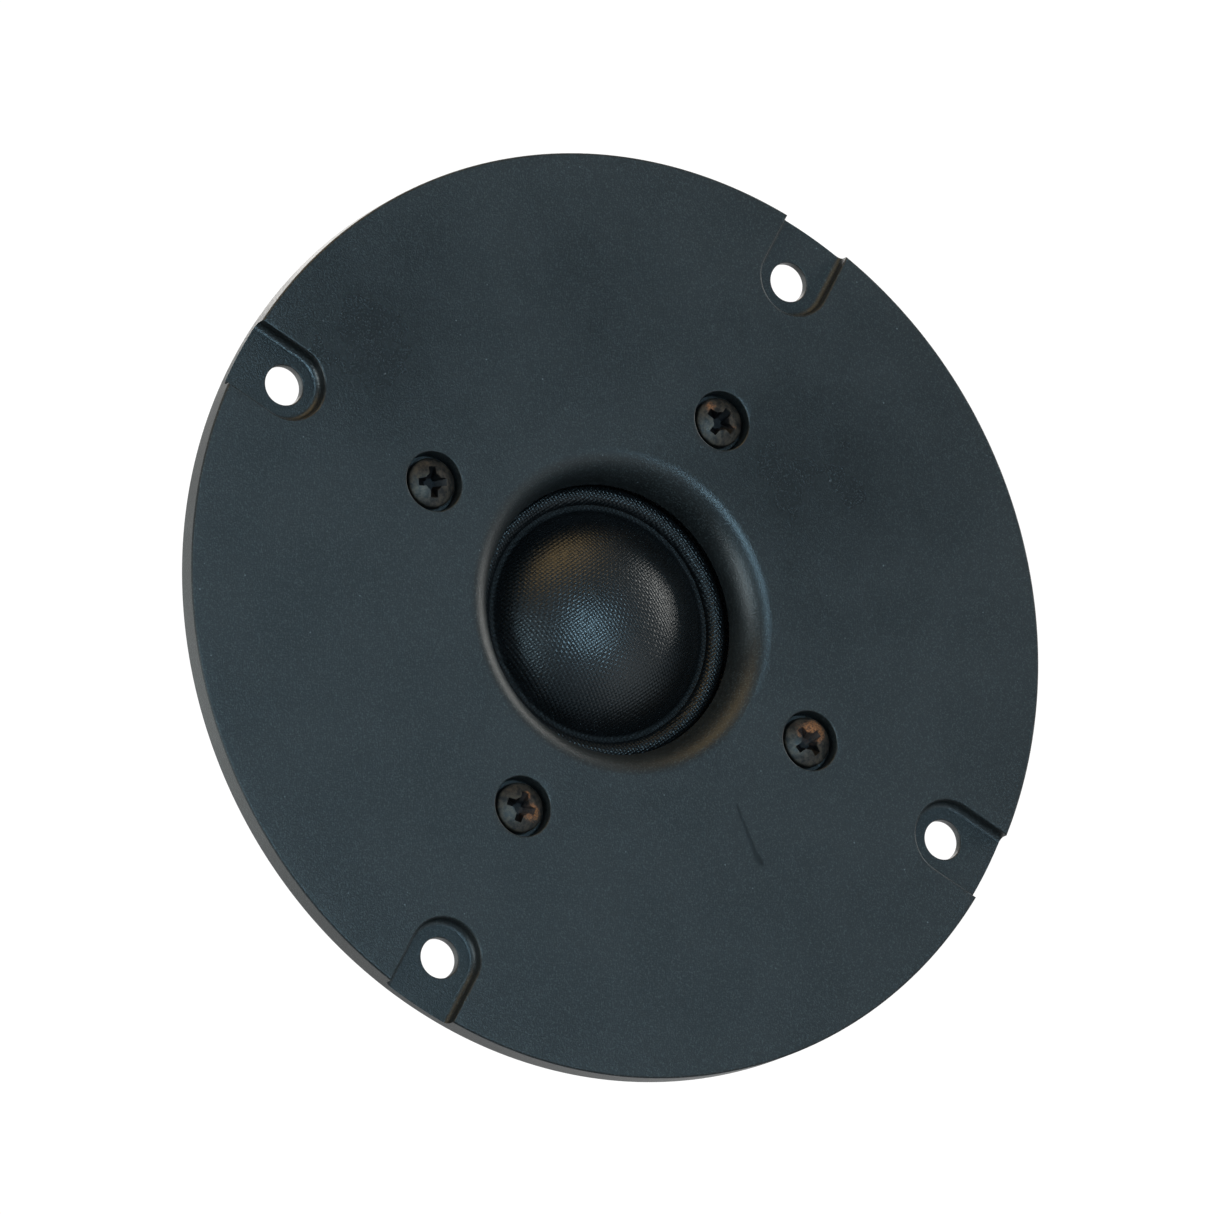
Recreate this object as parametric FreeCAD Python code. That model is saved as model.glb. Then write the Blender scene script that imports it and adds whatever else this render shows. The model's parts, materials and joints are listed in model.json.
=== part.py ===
import FreeCAD, Part
import math
import os

# One-inch soft-dome tweeter with a round flush-mount faceplate. Millimetres.
# Origin: centre of the mounting plane, which is the rear face of the faceplate's flange.
# The dome fires along -Y, the motor stands behind the baffle along +Y, and +Z is up.
# Profiles are lists of (radius, depth), where depth is counted from the front face towards +Y.

# Faceplate
PLATE_R = 52.0
FLANGE_T = 2.8
EDGE_R = 0.25
LIP_R = 18.5
THROAT_R = 15.3
THROAT_DEPTH = 4.45
RECESS_DEPTH = 6.3
UNDERCUT_R = 17.0
UNDERCUT_DEPTH = 5.3
BOSS_R = 33.0
SEAT_DEPTH = 8.5
GROOVE_R = (38.7, 41.0)
GROOVE_DEPTH = 0.9

# Baffle screw holes and the pockets that hide the screw heads
BAFFLE_PCD = 91.6
BAFFLE_HOLE_R = 2.25
POCKET_R = 4.2
POCKET_DEPTH = 1.6
POCKET_FILLET = 0.7

# Motor screws: M3 pan heads with a cross recess, in counterbores
SCREW_PCD = 52.2
SCREW_R = 1.5
SCREW_LENGTH = 10.0
SCREW_HOLE_R = 1.7
BORE_R = 3.35
BORE_DEPTH = 2.0
HEAD_R = 2.8
HEAD_TOP = 0.08
HEAD_RIM = 0.75
RECESS_SPAN = 3.7
RECESS_ARM = 0.85
RECESS_BOTTOM = 1.55
RECESS_TURNS = (38.0, -12.0, 57.0, 22.0)

# Gussets behind the flange
GUSSET_COUNT = 8
GUSSET_T = 1.5
GUSSET_R = 37.4
GUSSET_DEPTH = 7.6

# Diaphragm carrier, with an ear on each side for a terminal
CARRIER_R = (16.4, 24.0)
CARRIER_DEPTH = (6.5, 8.5)
EAR_R = 37.2
EAR_WIDTH = 8.0
CHANNEL_WIDTH = 8.6
CHANNEL_DEPTH = 5.6
WIRE_SLOT_WIDTH = 0.9
WIRE_SLOT_DEPTH = 0.8

# Dome, surround and voice coil
CLOTH_T = 0.2
DOME_R = 12.75
DOME_HEIGHT = 6.1
DOME_EDGE_DEPTH = 6.3
ROLL_CENTRE_R = 14.6
ROLL_HALF = 1.2
ROLL_RISE = 0.9
ROLL_DEPTH = 6.4
SURROUND_R = 19.6
FORMER_R = (12.70, 12.82)
FORMER_DEPTH = (6.7, 12.6)
WINDING_R = 13.10
WINDING_DEPTH = (9.1, 11.9)
GLUE_R = 13.12

# Motor
TOP_PLATE_R = (13.45, 32.0)
TOP_PLATE_DEPTH = (8.5, 12.5)
MAGNET_R = (16.5, 34.0)
MAGNET_DEPTH = 25.5
BACK_PLATE_R = 32.0
BACK_PLATE_DEPTH = 30.5
POLE_R = 12.0
POLE_TIP_DEPTH = 8.2
POLE_SPIGOT_R = 9.0
POLE_VENT_R = 4.5
CAP_T = 0.35
CAP_DEPTH = 15.0
CHAMFER = 0.8

# Felt and wadding
POLE_FELT_R = (5.5, 11.6)
POLE_FELT_T = 1.2
VENT_FELT_DEPTH = (14.0, 22.0)
WOOL_R = 20.5
WOOL_DEPTH = (33.0, 42.5)

# Rear chamber
CHAMBER_R = 24.0
CHAMBER_WALL = 1.8
CHAMBER_FLANGE_R = 30.0
CHAMBER_FLANGE_T = 2.4
CHAMBER_DEPTH = 46.0
CHAMBER_RIB_COUNT = 24
CHAMBER_RIB_R = 0.9
SEAL_T = 0.8
CHAMBER_SCREW_RING_R = 27.2
CHAMBER_SCREW_R = 1.25
CHAMBER_SCREW_LENGTH = 6.0
CHAMBER_HEAD_R = 2.3
CHAMBER_HEAD_T = 1.7

# Locating pins, terminals and leads
PIN_R = 1.0
PIN_RING_R = 21.3
PIN_DEPTH = (6.8, 11.5)
RIVET_RING_R = 35.0
RIVET_R = 0.8
RIVET_HEAD_R = 1.5
RIVET_HEAD_T = 0.5
BLADE_FOOT_R = (33.0, 37.2)
BLADE_LENGTH = 13.0
BLADE_HOLE_R = 0.7
POSITIVE_BLADE = (4.8, 0.8)
NEGATIVE_BLADE = (2.8, 0.8)
WIRE_R = 0.16

X_AXIS = FreeCAD.Vector(1, 0, 0)
Y_AXIS = FreeCAD.Vector(0, 1, 0)
ORIGIN = FreeCAD.Vector(0, 0, 0)


def at(radius, depth, height=0.0):
    """Point at a radius along +X, a depth behind the front face and a height along Z."""
    return FreeCAD.Vector(radius, depth - FLANGE_T, height)


def turned(shape, degrees):
    """Copy of a shape, turned about the tweeter's axis from +X towards +Z."""
    copy = shape.copy()
    copy.rotate(ORIGIN, Y_AXIS, -degrees)
    return copy


def four_way(shape):
    """Four copies of a shape, on the diagonals."""
    return [turned(shape, 45.0 + 90.0 * quarter) for quarter in range(4)]


def spin(edges):
    """Solid of revolution about the tweeter's axis from the edges of a closed profile."""
    face = Part.Face(Part.Wire(Part.sortEdges(edges)[0]))
    return Part.makeSolid(face.revolve(ORIGIN, Y_AXIS, 360.0))


def lines(corners):
    """Straight edges along a list of (radius, depth) corners."""
    points = [at(*corner) for corner in corners]
    return [Part.LineSegment(a, b).toShape() for a, b in zip(points, points[1:])]


def arc(start, middle, end):
    return Part.Arc(at(*start), at(*middle), at(*end)).toShape()


def turning(corners):
    """Solid of revolution with straight sides."""
    return spin(lines(corners + [corners[0]]))


def ring(inner, outer, near, far):
    """Plain ring between two radii and two depths."""
    return turning([(inner, near), (outer, near), (outer, far), (inner, far)])


def chamfered_ring(inner, outer, near, far, chamfer):
    """Ring whose outer edges are chamfered."""
    return turning([(inner, near), (outer - chamfer, near), (outer, near + chamfer),
                    (outer, far - chamfer), (outer - chamfer, far), (inner, far)])


def rod(radius, near, far, ring_radius=0.0):
    """Cylinder along the axis, standing at a radius along +X."""
    return Part.makeCylinder(radius, far - near, at(ring_radius, near), Y_AXIS)


def block(x_range, depths, width):
    """Box centred on the XY plane."""
    corner = at(x_range[0], depths[0], -width / 2)
    return Part.makeBox(x_range[1] - x_range[0], depths[1] - depths[0], width, corner)


def group(shapes):
    return Part.makeCompound(shapes)


def save(name, shape):
    """Write one node, and say how many solids it has."""
    if not shape.isValid():
        raise ValueError(name + " is not a valid shape")
    shape.exportStep("parts/" + name + ".step")
    print(name, len(shape.Solids), "solid(s)", round(shape.Volume, 2), "mm3")


# ---- Faceplate ----

def plate_body():
    """Flange, horn mouth and rear boss. The horn's wall is a quarter of an ellipse."""
    lip_centre = at(LIP_R, THROAT_DEPTH)
    ellipse = Part.Ellipse(at(LIP_R, 0.0), at(THROAT_R, THROAT_DEPTH), lip_centre)
    horn = Part.ArcOfEllipse(ellipse, 0.0, math.pi / 2).toShape()
    outline = lines([
        (LIP_R, 0.0), (PLATE_R, 0.0), (PLATE_R, FLANGE_T), (BOSS_R, FLANGE_T),
        (BOSS_R, SEAT_DEPTH), (CARRIER_R[1] + 0.1, SEAT_DEPTH),
        (CARRIER_R[1] + 0.1, RECESS_DEPTH), (UNDERCUT_R, RECESS_DEPTH),
        (UNDERCUT_R, UNDERCUT_DEPTH), (THROAT_R + 0.2, THROAT_DEPTH + 0.3),
        (THROAT_R, THROAT_DEPTH)])
    return spin(outline + [horn])


def pocket_cutter():
    """U-shaped pocket, open at the rim, with a rounded foot to its wall."""
    centre = BAFFLE_PCD / 2
    end = rod(POCKET_R, -1.0, POCKET_DEPTH, centre)
    lane = block((centre, PLATE_R + 8.0), (-1.0, POCKET_DEPTH), 2 * POCKET_R)
    cutter = end.fuse(lane).removeSplitter()
    foot = [edge for edge in cutter.Edges
            if abs(edge.BoundBox.YMax - edge.BoundBox.YMin) < 1e-6
            and abs(edge.BoundBox.YMax - (POCKET_DEPTH - FLANGE_T)) < 1e-6
            and edge.BoundBox.XMin < PLATE_R + 7.0]
    return cutter.makeFillet(POCKET_FILLET, foot)


def gusset():
    """Triangular rib between the flange and the boss."""
    corners = [at(BOSS_R - 0.5, FLANGE_T - 0.3), at(GUSSET_R, FLANGE_T - 0.3),
               at(GUSSET_R, FLANGE_T + 0.5), at(BOSS_R - 0.5, GUSSET_DEPTH)]
    wire = Part.makePolygon(corners + [corners[0]])
    wire.translate(FreeCAD.Vector(0, 0, -GUSSET_T / 2))
    return Part.Face(wire).extrude(FreeCAD.Vector(0, 0, GUSSET_T))


def front_edges(plate):
    """Edges on the front face at the rim and round the pockets."""
    chosen = []
    for edge in plate.Edges:
        box = edge.BoundBox
        flat = abs(box.YMax + FLANGE_T) < 1e-6 and abs(box.YMin + FLANGE_T) < 1e-6
        middle = edge.valueAt((edge.FirstParameter + edge.LastParameter) / 2)
        if flat and math.hypot(middle.x, middle.z) > BAFFLE_PCD / 2 - POCKET_R - 1.0:
            chosen.append(edge)
    return chosen


def faceplate():
    plate = plate_body()
    step = 360.0 / GUSSET_COUNT
    plate = plate.multiFuse([turned(gusset(), step * (n + 0.5)) for n in range(GUSSET_COUNT)])
    plate = plate.cut(four_way(pocket_cutter()))
    plate = plate.makeFillet(EDGE_R, front_edges(plate))
    screw_ring = SCREW_PCD / 2
    cutters = four_way(rod(BAFFLE_HOLE_R, 0.0, FLANGE_T + 1.0, BAFFLE_PCD / 2))
    cutters += four_way(rod(BORE_R, -1.0, BORE_DEPTH, screw_ring))
    cutters += four_way(rod(SCREW_HOLE_R, 0.0, SEAT_DEPTH + 1.0, screw_ring))
    cutters.append(ring(GROOVE_R[0], GROOVE_R[1], FLANGE_T - GROOVE_DEPTH, FLANGE_T + 1.0))
    channel = block((CARRIER_R[1] - 1.0, BOSS_R + 1.0), (CHANNEL_DEPTH, SEAT_DEPTH + 1.0),
                    CHANNEL_WIDTH)
    cutters += [channel, turned(channel, 180.0)]
    return plate.cut(cutters)


def flange_gasket():
    return ring(GROOVE_R[0] + 0.1, GROOVE_R[1] - 0.1, FLANGE_T - GROOVE_DEPTH, FLANGE_T)


# ---- Motor screws ----

def cross_recess(ring_radius, turn):
    """Cross-shaped recess that narrows towards its foot, cut from a head."""
    foot = RECESS_BOTTOM - FLANGE_T
    cone = Part.makeCone(0.35, RECESS_SPAN / 2 + 0.25, RECESS_BOTTOM + 0.35,
                         FreeCAD.Vector(ring_radius, foot, 0), -Y_AXIS)
    core = Part.makeCone(0.35, 1.05, RECESS_BOTTOM + 0.35,
                         FreeCAD.Vector(ring_radius, foot, 0), -Y_AXIS)
    half = RECESS_SPAN / 2
    arm = Part.makeBox(2 * half, RECESS_BOTTOM + 0.35, RECESS_ARM,
                       FreeCAD.Vector(ring_radius - half, foot - RECESS_BOTTOM - 0.35,
                                      -RECESS_ARM / 2))
    centre = FreeCAD.Vector(ring_radius, 0, 0)
    other = arm.copy()
    other.rotate(centre, Y_AXIS, 90.0)
    recess = arm.fuse(other).common(cone).fuse(core)
    recess.rotate(centre, Y_AXIS, -turn)
    return recess


def pan_head_screw(turn):
    """Screw on the ring of motor screws at +X, with its recess turned about its own axis."""
    ring_radius = SCREW_PCD / 2
    sag = HEAD_RIM - HEAD_TOP
    dome_radius = (HEAD_R ** 2 + sag ** 2) / (2 * sag)
    middle = HEAD_TOP + dome_radius - math.sqrt(dome_radius ** 2 - (HEAD_R / 2) ** 2)
    tip = BORE_DEPTH + SCREW_LENGTH
    profile = lines([(HEAD_R, HEAD_RIM), (HEAD_R, BORE_DEPTH), (SCREW_R, BORE_DEPTH),
                     (SCREW_R, tip - 0.5), (SCREW_R - 0.5, tip), (0.0, tip), (0.0, HEAD_TOP)])
    profile.append(arc((0.0, HEAD_TOP), (HEAD_R / 2, middle), (HEAD_R, HEAD_RIM)))
    screw = spin(profile)
    screw.translate(FreeCAD.Vector(ring_radius, 0, 0))
    return screw.cut(cross_recess(ring_radius, turn))


def faceplate_screws():
    """Each recess keeps its own angle, measured from +X once the screw is in its corner."""
    screws = []
    for quarter, turn in enumerate(RECESS_TURNS):
        corner = 45.0 + 90.0 * quarter
        screws.append(turned(pan_head_screw(turn - corner), corner))
    return group(screws)


# ---- Diaphragm assembly ----

def diaphragm_carrier():
    """Ring with two ears, slots for the leads, and holes for pins and rivets."""
    near, far = CARRIER_DEPTH
    body = ring(CARRIER_R[0], CARRIER_R[1], near, far)
    ear = block((CARRIER_R[1] - 1.0, EAR_R), (near, far), EAR_WIDTH)
    slot = block((CARRIER_R[0] - 1.0, RIVET_RING_R), (near - 1.0, near + WIRE_SLOT_DEPTH),
                 WIRE_SLOT_WIDTH)
    rivet_hole = rod(RIVET_R, near - 1.0, far + 1.0, RIVET_RING_R)
    pin_hole = turned(rod(PIN_R, near - 1.0, far + 1.0, PIN_RING_R), 90.0)
    body = body.multiFuse([ear, turned(ear, 180.0)]).removeSplitter()
    pairs = [slot, rivet_hole, pin_hole]
    return body.cut(pairs + [turned(shape, 180.0) for shape in pairs])


def surround():
    """Shallow roll of cloth with a flat rim outside and a narrow bonding rim inside."""
    top, under = ROLL_DEPTH - CLOTH_T / 2, ROLL_DEPTH + CLOTH_T / 2
    start, end = ROLL_CENTRE_R - ROLL_HALF, ROLL_CENTRE_R + ROLL_HALF
    rim = DOME_R + 0.05
    profile = [arc((start, top), (ROLL_CENTRE_R, top - ROLL_RISE), (end, top)),
               arc((start + CLOTH_T, under), (ROLL_CENTRE_R, under - ROLL_RISE),
                   (end - CLOTH_T, under))]
    profile += lines([(start, top), (rim, top), (rim, under), (start + CLOTH_T, under)])
    profile += lines([(end - CLOTH_T, under), (SURROUND_R, under), (SURROUND_R, top),
                      (end, top)])
    return spin(profile)


def dome():
    """Spherical cap of cloth, with a short skirt that stands on the former."""
    edge = DOME_EDGE_DEPTH
    crown = edge - DOME_HEIGHT
    sphere = (DOME_R ** 2 + DOME_HEIGHT ** 2) / (2 * DOME_HEIGHT)

    def cap_depth(radius, thickness):
        shell = sphere - thickness
        return crown + sphere - math.sqrt(shell ** 2 - radius ** 2)

    inside = DOME_R - CLOTH_T
    profile = [arc((0.0, crown), (DOME_R / 2, cap_depth(DOME_R / 2, 0.0)), (DOME_R, edge))]
    profile += lines([(DOME_R, edge), (DOME_R, edge + 0.4), (inside, edge + 0.4),
                      (inside, cap_depth(inside, CLOTH_T))])
    profile.append(arc((inside, cap_depth(inside, CLOTH_T)),
                       (inside / 2, cap_depth(inside / 2, CLOTH_T)), (0.0, crown + CLOTH_T)))
    profile += lines([(0.0, crown + CLOTH_T), (0.0, crown)])
    return spin(profile)


def voice_coil_former():
    return ring(FORMER_R[0], FORMER_R[1], FORMER_DEPTH[0], FORMER_DEPTH[1])


def voice_coil_winding():
    near, far = WINDING_DEPTH
    return ring(FORMER_R[1], WINDING_R, near, far)


def coil_adhesive():
    """Fillet of glue in the corner between the cloth's bonding rim and the former."""
    near = ROLL_DEPTH + CLOTH_T / 2 + 0.05
    return turning([(FORMER_R[1], FORMER_DEPTH[0]), (FORMER_R[1], near + 0.8),
                    (GLUE_R, near + 0.3), (GLUE_R, near), (DOME_R, near),
                    (DOME_R, FORMER_DEPTH[0])])


# ---- Motor ----

def top_plate():
    plate = chamfered_ring(TOP_PLATE_R[0], TOP_PLATE_R[1], TOP_PLATE_DEPTH[0],
                           TOP_PLATE_DEPTH[1], CHAMFER / 2)
    near, far = TOP_PLATE_DEPTH
    holes = four_way(rod(SCREW_R, near - 1.0, far + 1.0, SCREW_PCD / 2))
    pin_hole = rod(PIN_R, near - 1.0, PIN_DEPTH[1], PIN_RING_R)
    holes += [turned(pin_hole, 90.0), turned(pin_hole, 270.0)]
    return plate.cut(holes)


def magnet():
    return chamfered_ring(MAGNET_R[0], MAGNET_R[1], TOP_PLATE_DEPTH[1], MAGNET_DEPTH, CHAMFER)


def back_plate():
    plate = chamfered_ring(POLE_SPIGOT_R, BACK_PLATE_R, MAGNET_DEPTH, BACK_PLATE_DEPTH, CHAMFER)
    hole = rod(CHAMBER_SCREW_R, BACK_PLATE_DEPTH - 4.0, BACK_PLATE_DEPTH + 1.0,
               CHAMBER_SCREW_RING_R)
    return plate.cut(four_way(hole))


def pole_piece():
    """Vented pole with a spigot for the back plate."""
    return turning([
        (POLE_VENT_R, POLE_TIP_DEPTH + CAP_T), (POLE_R, POLE_TIP_DEPTH + CAP_T),
        (POLE_R, MAGNET_DEPTH), (POLE_SPIGOT_R, MAGNET_DEPTH),
        (POLE_SPIGOT_R, BACK_PLATE_DEPTH), (POLE_VENT_R, BACK_PLATE_DEPTH)])


def copper_cap():
    """Thin cap over the pole's tip, open in the middle for the vent."""
    tip = POLE_TIP_DEPTH
    outer = POLE_R + CAP_T
    return turning([(POLE_VENT_R, tip), (outer, tip), (outer, CAP_DEPTH),
                    (POLE_R, CAP_DEPTH), (POLE_R, tip + CAP_T), (POLE_VENT_R, tip + CAP_T)])


def pole_felt():
    return ring(POLE_FELT_R[0], POLE_FELT_R[1], POLE_TIP_DEPTH - POLE_FELT_T, POLE_TIP_DEPTH)


def vent_felt_plug():
    return rod(POLE_VENT_R, VENT_FELT_DEPTH[0], VENT_FELT_DEPTH[1])


# ---- Rear chamber ----

def rear_chamber():
    """Cup with a screwed flange, grip ribs round its wall and a rounded floor."""
    near = BACK_PLATE_DEPTH + SEAL_T
    inside = CHAMBER_R - CHAMBER_WALL
    corner = 3.0
    bend = corner * (1.0 - math.sqrt(0.5))
    profile = lines([(0.0, CHAMBER_DEPTH - CHAMBER_WALL), (inside, CHAMBER_DEPTH - CHAMBER_WALL),
                     (inside, near), (CHAMBER_FLANGE_R, near),
                     (CHAMBER_FLANGE_R, near + CHAMBER_FLANGE_T),
                     (CHAMBER_R, near + CHAMBER_FLANGE_T), (CHAMBER_R, CHAMBER_DEPTH - corner)])
    profile.append(arc((CHAMBER_R, CHAMBER_DEPTH - corner),
                       (CHAMBER_R - bend, CHAMBER_DEPTH - bend),
                       (CHAMBER_R - corner, CHAMBER_DEPTH)))
    profile += lines([(CHAMBER_R - corner, CHAMBER_DEPTH), (0.0, CHAMBER_DEPTH),
                      (0.0, CHAMBER_DEPTH - CHAMBER_WALL)])
    cup = spin(profile)
    rib = rod(CHAMBER_RIB_R, near + CHAMBER_FLANGE_T, CHAMBER_DEPTH - corner - 1.0,
              CHAMBER_R - 0.35)
    step = 360.0 / CHAMBER_RIB_COUNT
    cup = cup.multiFuse([turned(rib, step * (n + 0.5)) for n in range(CHAMBER_RIB_COUNT)])
    hole = rod(CHAMBER_SCREW_R + 0.2, near - 1.0, near + CHAMBER_FLANGE_T + 1.0,
               CHAMBER_SCREW_RING_R)
    return cup.cut(four_way(hole))


def chamber_seal():
    """Flat gasket between the cup's flange and the back plate."""
    seal = ring(CHAMBER_R - CHAMBER_WALL, CHAMBER_FLANGE_R, BACK_PLATE_DEPTH,
                BACK_PLATE_DEPTH + SEAL_T)
    hole = rod(CHAMBER_SCREW_R + 0.2, BACK_PLATE_DEPTH - 1.0, BACK_PLATE_DEPTH + SEAL_T + 1.0,
               CHAMBER_SCREW_RING_R)
    return seal.cut(four_way(hole))


def chamber_screws():
    """Four button-headed screws, with a hexagon socket, through the cup's flange."""
    under_head = BACK_PLATE_DEPTH + SEAL_T + CHAMBER_FLANGE_T
    tip = under_head - CHAMBER_SCREW_LENGTH
    top = under_head + CHAMBER_HEAD_T
    profile = lines([(0.0, tip), (CHAMBER_SCREW_R, tip), (CHAMBER_SCREW_R, under_head),
                     (CHAMBER_HEAD_R, under_head), (CHAMBER_HEAD_R, under_head + 0.6)])
    profile.append(arc((CHAMBER_HEAD_R, under_head + 0.6),
                       (CHAMBER_HEAD_R * 0.82, under_head + CHAMBER_HEAD_T * 0.78),
                       (CHAMBER_HEAD_R * 0.5, top)))
    profile += lines([(CHAMBER_HEAD_R * 0.5, top), (0.0, top), (0.0, tip)])
    screw = spin(profile)
    corners = [at(0.87 * math.cos(math.radians(60 * n)), top - 1.0,
                  0.87 * math.sin(math.radians(60 * n))) for n in range(6)]
    socket = Part.Face(Part.makePolygon(corners + [corners[0]])).extrude(Y_AXIS * 2.0)
    screw = screw.cut(socket)
    screw.translate(FreeCAD.Vector(CHAMBER_SCREW_RING_R, 0, 0))
    return group(four_way(screw))


def chamber_wool():
    return rod(WOOL_R, WOOL_DEPTH[0], WOOL_DEPTH[1])


# ---- Pins, terminals and leads ----

def locating_pins():
    pin = turned(rod(PIN_R, PIN_DEPTH[0], PIN_DEPTH[1], PIN_RING_R), 90.0)
    return group([pin, turned(pin, 180.0)])


def terminal(size):
    """Bent blade at +X: a foot on the ear's rear face and a tab that points backwards."""
    width, thickness = size
    near = CARRIER_DEPTH[1]
    end = near + BLADE_LENGTH
    outer = BLADE_FOOT_R[1]
    corners = [at(BLADE_FOOT_R[0], near), at(outer, near), at(outer, end - 1.0),
               at(outer - thickness / 4, end), at(outer - 3 * thickness / 4, end),
               at(outer - thickness, end - 1.0), at(outer - thickness, near + thickness),
               at(BLADE_FOOT_R[0], near + thickness)]
    wire = Part.makePolygon(corners + [corners[0]])
    wire.translate(FreeCAD.Vector(0, 0, -width / 2))
    blade = Part.Face(wire).extrude(FreeCAD.Vector(0, 0, width))
    hole = Part.makeCylinder(BLADE_HOLE_R, 4.0, at(outer - 2.0, end - 3.6), X_AXIS)
    return blade.cut([hole, rod(RIVET_R, near - 1.0, near + 2.0, RIVET_RING_R)])


def terminal_rivets():
    """Hollow-looking rivets: shank through ear and blade, a head on each side."""
    near, far = CARRIER_DEPTH[0], CARRIER_DEPTH[1] + POSITIVE_BLADE[1]
    front_head = rod(RIVET_HEAD_R, near - RIVET_HEAD_T, near, RIVET_RING_R)
    rear_head = Part.makeCone(RIVET_HEAD_R - 0.2, RIVET_R, RIVET_HEAD_T,
                              at(RIVET_RING_R, far), Y_AXIS)
    shank = rod(RIVET_R, near, far, RIVET_RING_R)
    rivet = shank.multiFuse([front_head, rear_head]).removeSplitter()
    return group([rivet, turned(rivet, 180.0)])


def lead_wire():
    """Lead at +X: up from the winding, over the top plate and along the ear's slot."""
    rise = (WINDING_R + WIRE_R, WINDING_DEPTH[0] + 0.6)
    run = CARRIER_DEPTH[0] + WIRE_SLOT_DEPTH - WIRE_R - 0.05
    bend = 0.6
    end = (RIVET_RING_R - RIVET_HEAD_R - 0.1, run)
    corner = bend * (1.0 - math.sqrt(0.5))
    path = lines([rise, (rise[0], run + bend)])
    path.append(arc((rise[0], run + bend), (rise[0] + corner, run + corner),
                    (rise[0] + bend, run)))
    path += lines([(rise[0] + bend, run), end])
    section = Part.Wire(Part.makeCircle(WIRE_R, at(*rise), Y_AXIS))
    return Part.Wire(path).makePipeShell([section], True, False)


def solder_joints():
    """Cone of solder in each slot, where the lead reaches the rivet's head."""
    blob = Part.makeSphere(0.62, at(RIVET_RING_R - RIVET_HEAD_R - 0.25, CARRIER_DEPTH[0] + 0.1))
    clear = block((RIVET_RING_R - 4.0, RIVET_RING_R),
                  (CARRIER_DEPTH[0], CARRIER_DEPTH[0] + 2.0), 4.0)
    rivet = rod(RIVET_HEAD_R, 0.0, 12.0, RIVET_RING_R)
    blob = blob.cut([clear, rivet])
    return group([blob, turned(blob, 180.0)])


def main():
    os.makedirs("parts", exist_ok=True)
    save("faceplate", faceplate())
    save("flange_gasket", flange_gasket())
    save("faceplate_screws", faceplate_screws())
    save("diaphragm_carrier", diaphragm_carrier())
    save("surround", surround())
    save("dome", dome())
    save("voice_coil_former", voice_coil_former())
    save("voice_coil_winding", voice_coil_winding())
    save("coil_adhesive", coil_adhesive())
    save("top_plate", top_plate())
    save("magnet", magnet())
    save("back_plate", back_plate())
    save("pole_piece", pole_piece())
    save("copper_cap", copper_cap())
    save("pole_felt", pole_felt())
    save("vent_felt_plug", vent_felt_plug())
    save("rear_chamber", rear_chamber())
    save("chamber_seal", chamber_seal())
    save("chamber_screws", chamber_screws())
    save("chamber_wool", chamber_wool())
    save("locating_pins", locating_pins())
    save("terminal_positive", terminal(POSITIVE_BLADE))
    save("terminal_negative", turned(terminal(NEGATIVE_BLADE), 180.0))
    save("terminal_rivets", terminal_rivets())
    save("lead_wire_positive", lead_wire())
    save("lead_wire_negative", turned(lead_wire(), 180.0))
    save("solder_joints", solder_joints())


main()
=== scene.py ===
import json
import math
import random

import bmesh
import bpy
from mathutils import Matrix, Vector

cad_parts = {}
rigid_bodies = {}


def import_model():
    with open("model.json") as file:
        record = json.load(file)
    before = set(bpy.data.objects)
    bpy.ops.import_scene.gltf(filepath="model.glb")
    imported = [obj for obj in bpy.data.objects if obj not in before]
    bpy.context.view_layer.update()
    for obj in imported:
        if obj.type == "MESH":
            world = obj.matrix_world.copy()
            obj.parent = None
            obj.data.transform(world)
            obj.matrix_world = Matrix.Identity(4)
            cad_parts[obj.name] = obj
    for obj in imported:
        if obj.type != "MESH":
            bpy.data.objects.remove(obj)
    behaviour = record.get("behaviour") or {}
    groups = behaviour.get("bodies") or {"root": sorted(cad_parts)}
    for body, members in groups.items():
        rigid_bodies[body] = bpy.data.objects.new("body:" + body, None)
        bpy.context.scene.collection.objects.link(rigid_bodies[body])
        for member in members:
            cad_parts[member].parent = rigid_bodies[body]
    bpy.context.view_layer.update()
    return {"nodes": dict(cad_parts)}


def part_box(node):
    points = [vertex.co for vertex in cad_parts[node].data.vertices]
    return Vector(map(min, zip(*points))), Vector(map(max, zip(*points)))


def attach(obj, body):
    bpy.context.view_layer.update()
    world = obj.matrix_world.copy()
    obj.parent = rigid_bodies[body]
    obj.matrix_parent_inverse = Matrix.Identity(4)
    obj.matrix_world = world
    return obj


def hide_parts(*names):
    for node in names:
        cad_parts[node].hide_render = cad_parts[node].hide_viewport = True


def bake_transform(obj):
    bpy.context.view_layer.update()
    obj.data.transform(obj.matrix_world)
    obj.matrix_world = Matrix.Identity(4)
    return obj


# A soft-dome tweeter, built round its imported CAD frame. Lengths are millimetres, and a depth counts
# from the faceplate's front face towards +Y. The mesh builders turn both into metres.

for leftover in list(bpy.data.objects):
    bpy.data.objects.remove(leftover)
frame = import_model()

MM = 0.001


# ---- Sizes read from the frame ----

def corners(node):
    """Lowest and highest corner of a CAD node, in millimetres."""
    low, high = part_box(node)
    return low / MM, high / MM


FRONT_Y = corners("faceplate")[0].y


def span(node):
    """Outer radius, near depth and far depth of a CAD node that is round about the axis."""
    low, high = corners(node)
    return high.x, low.y - FRONT_Y, high.y - FRONT_Y


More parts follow.
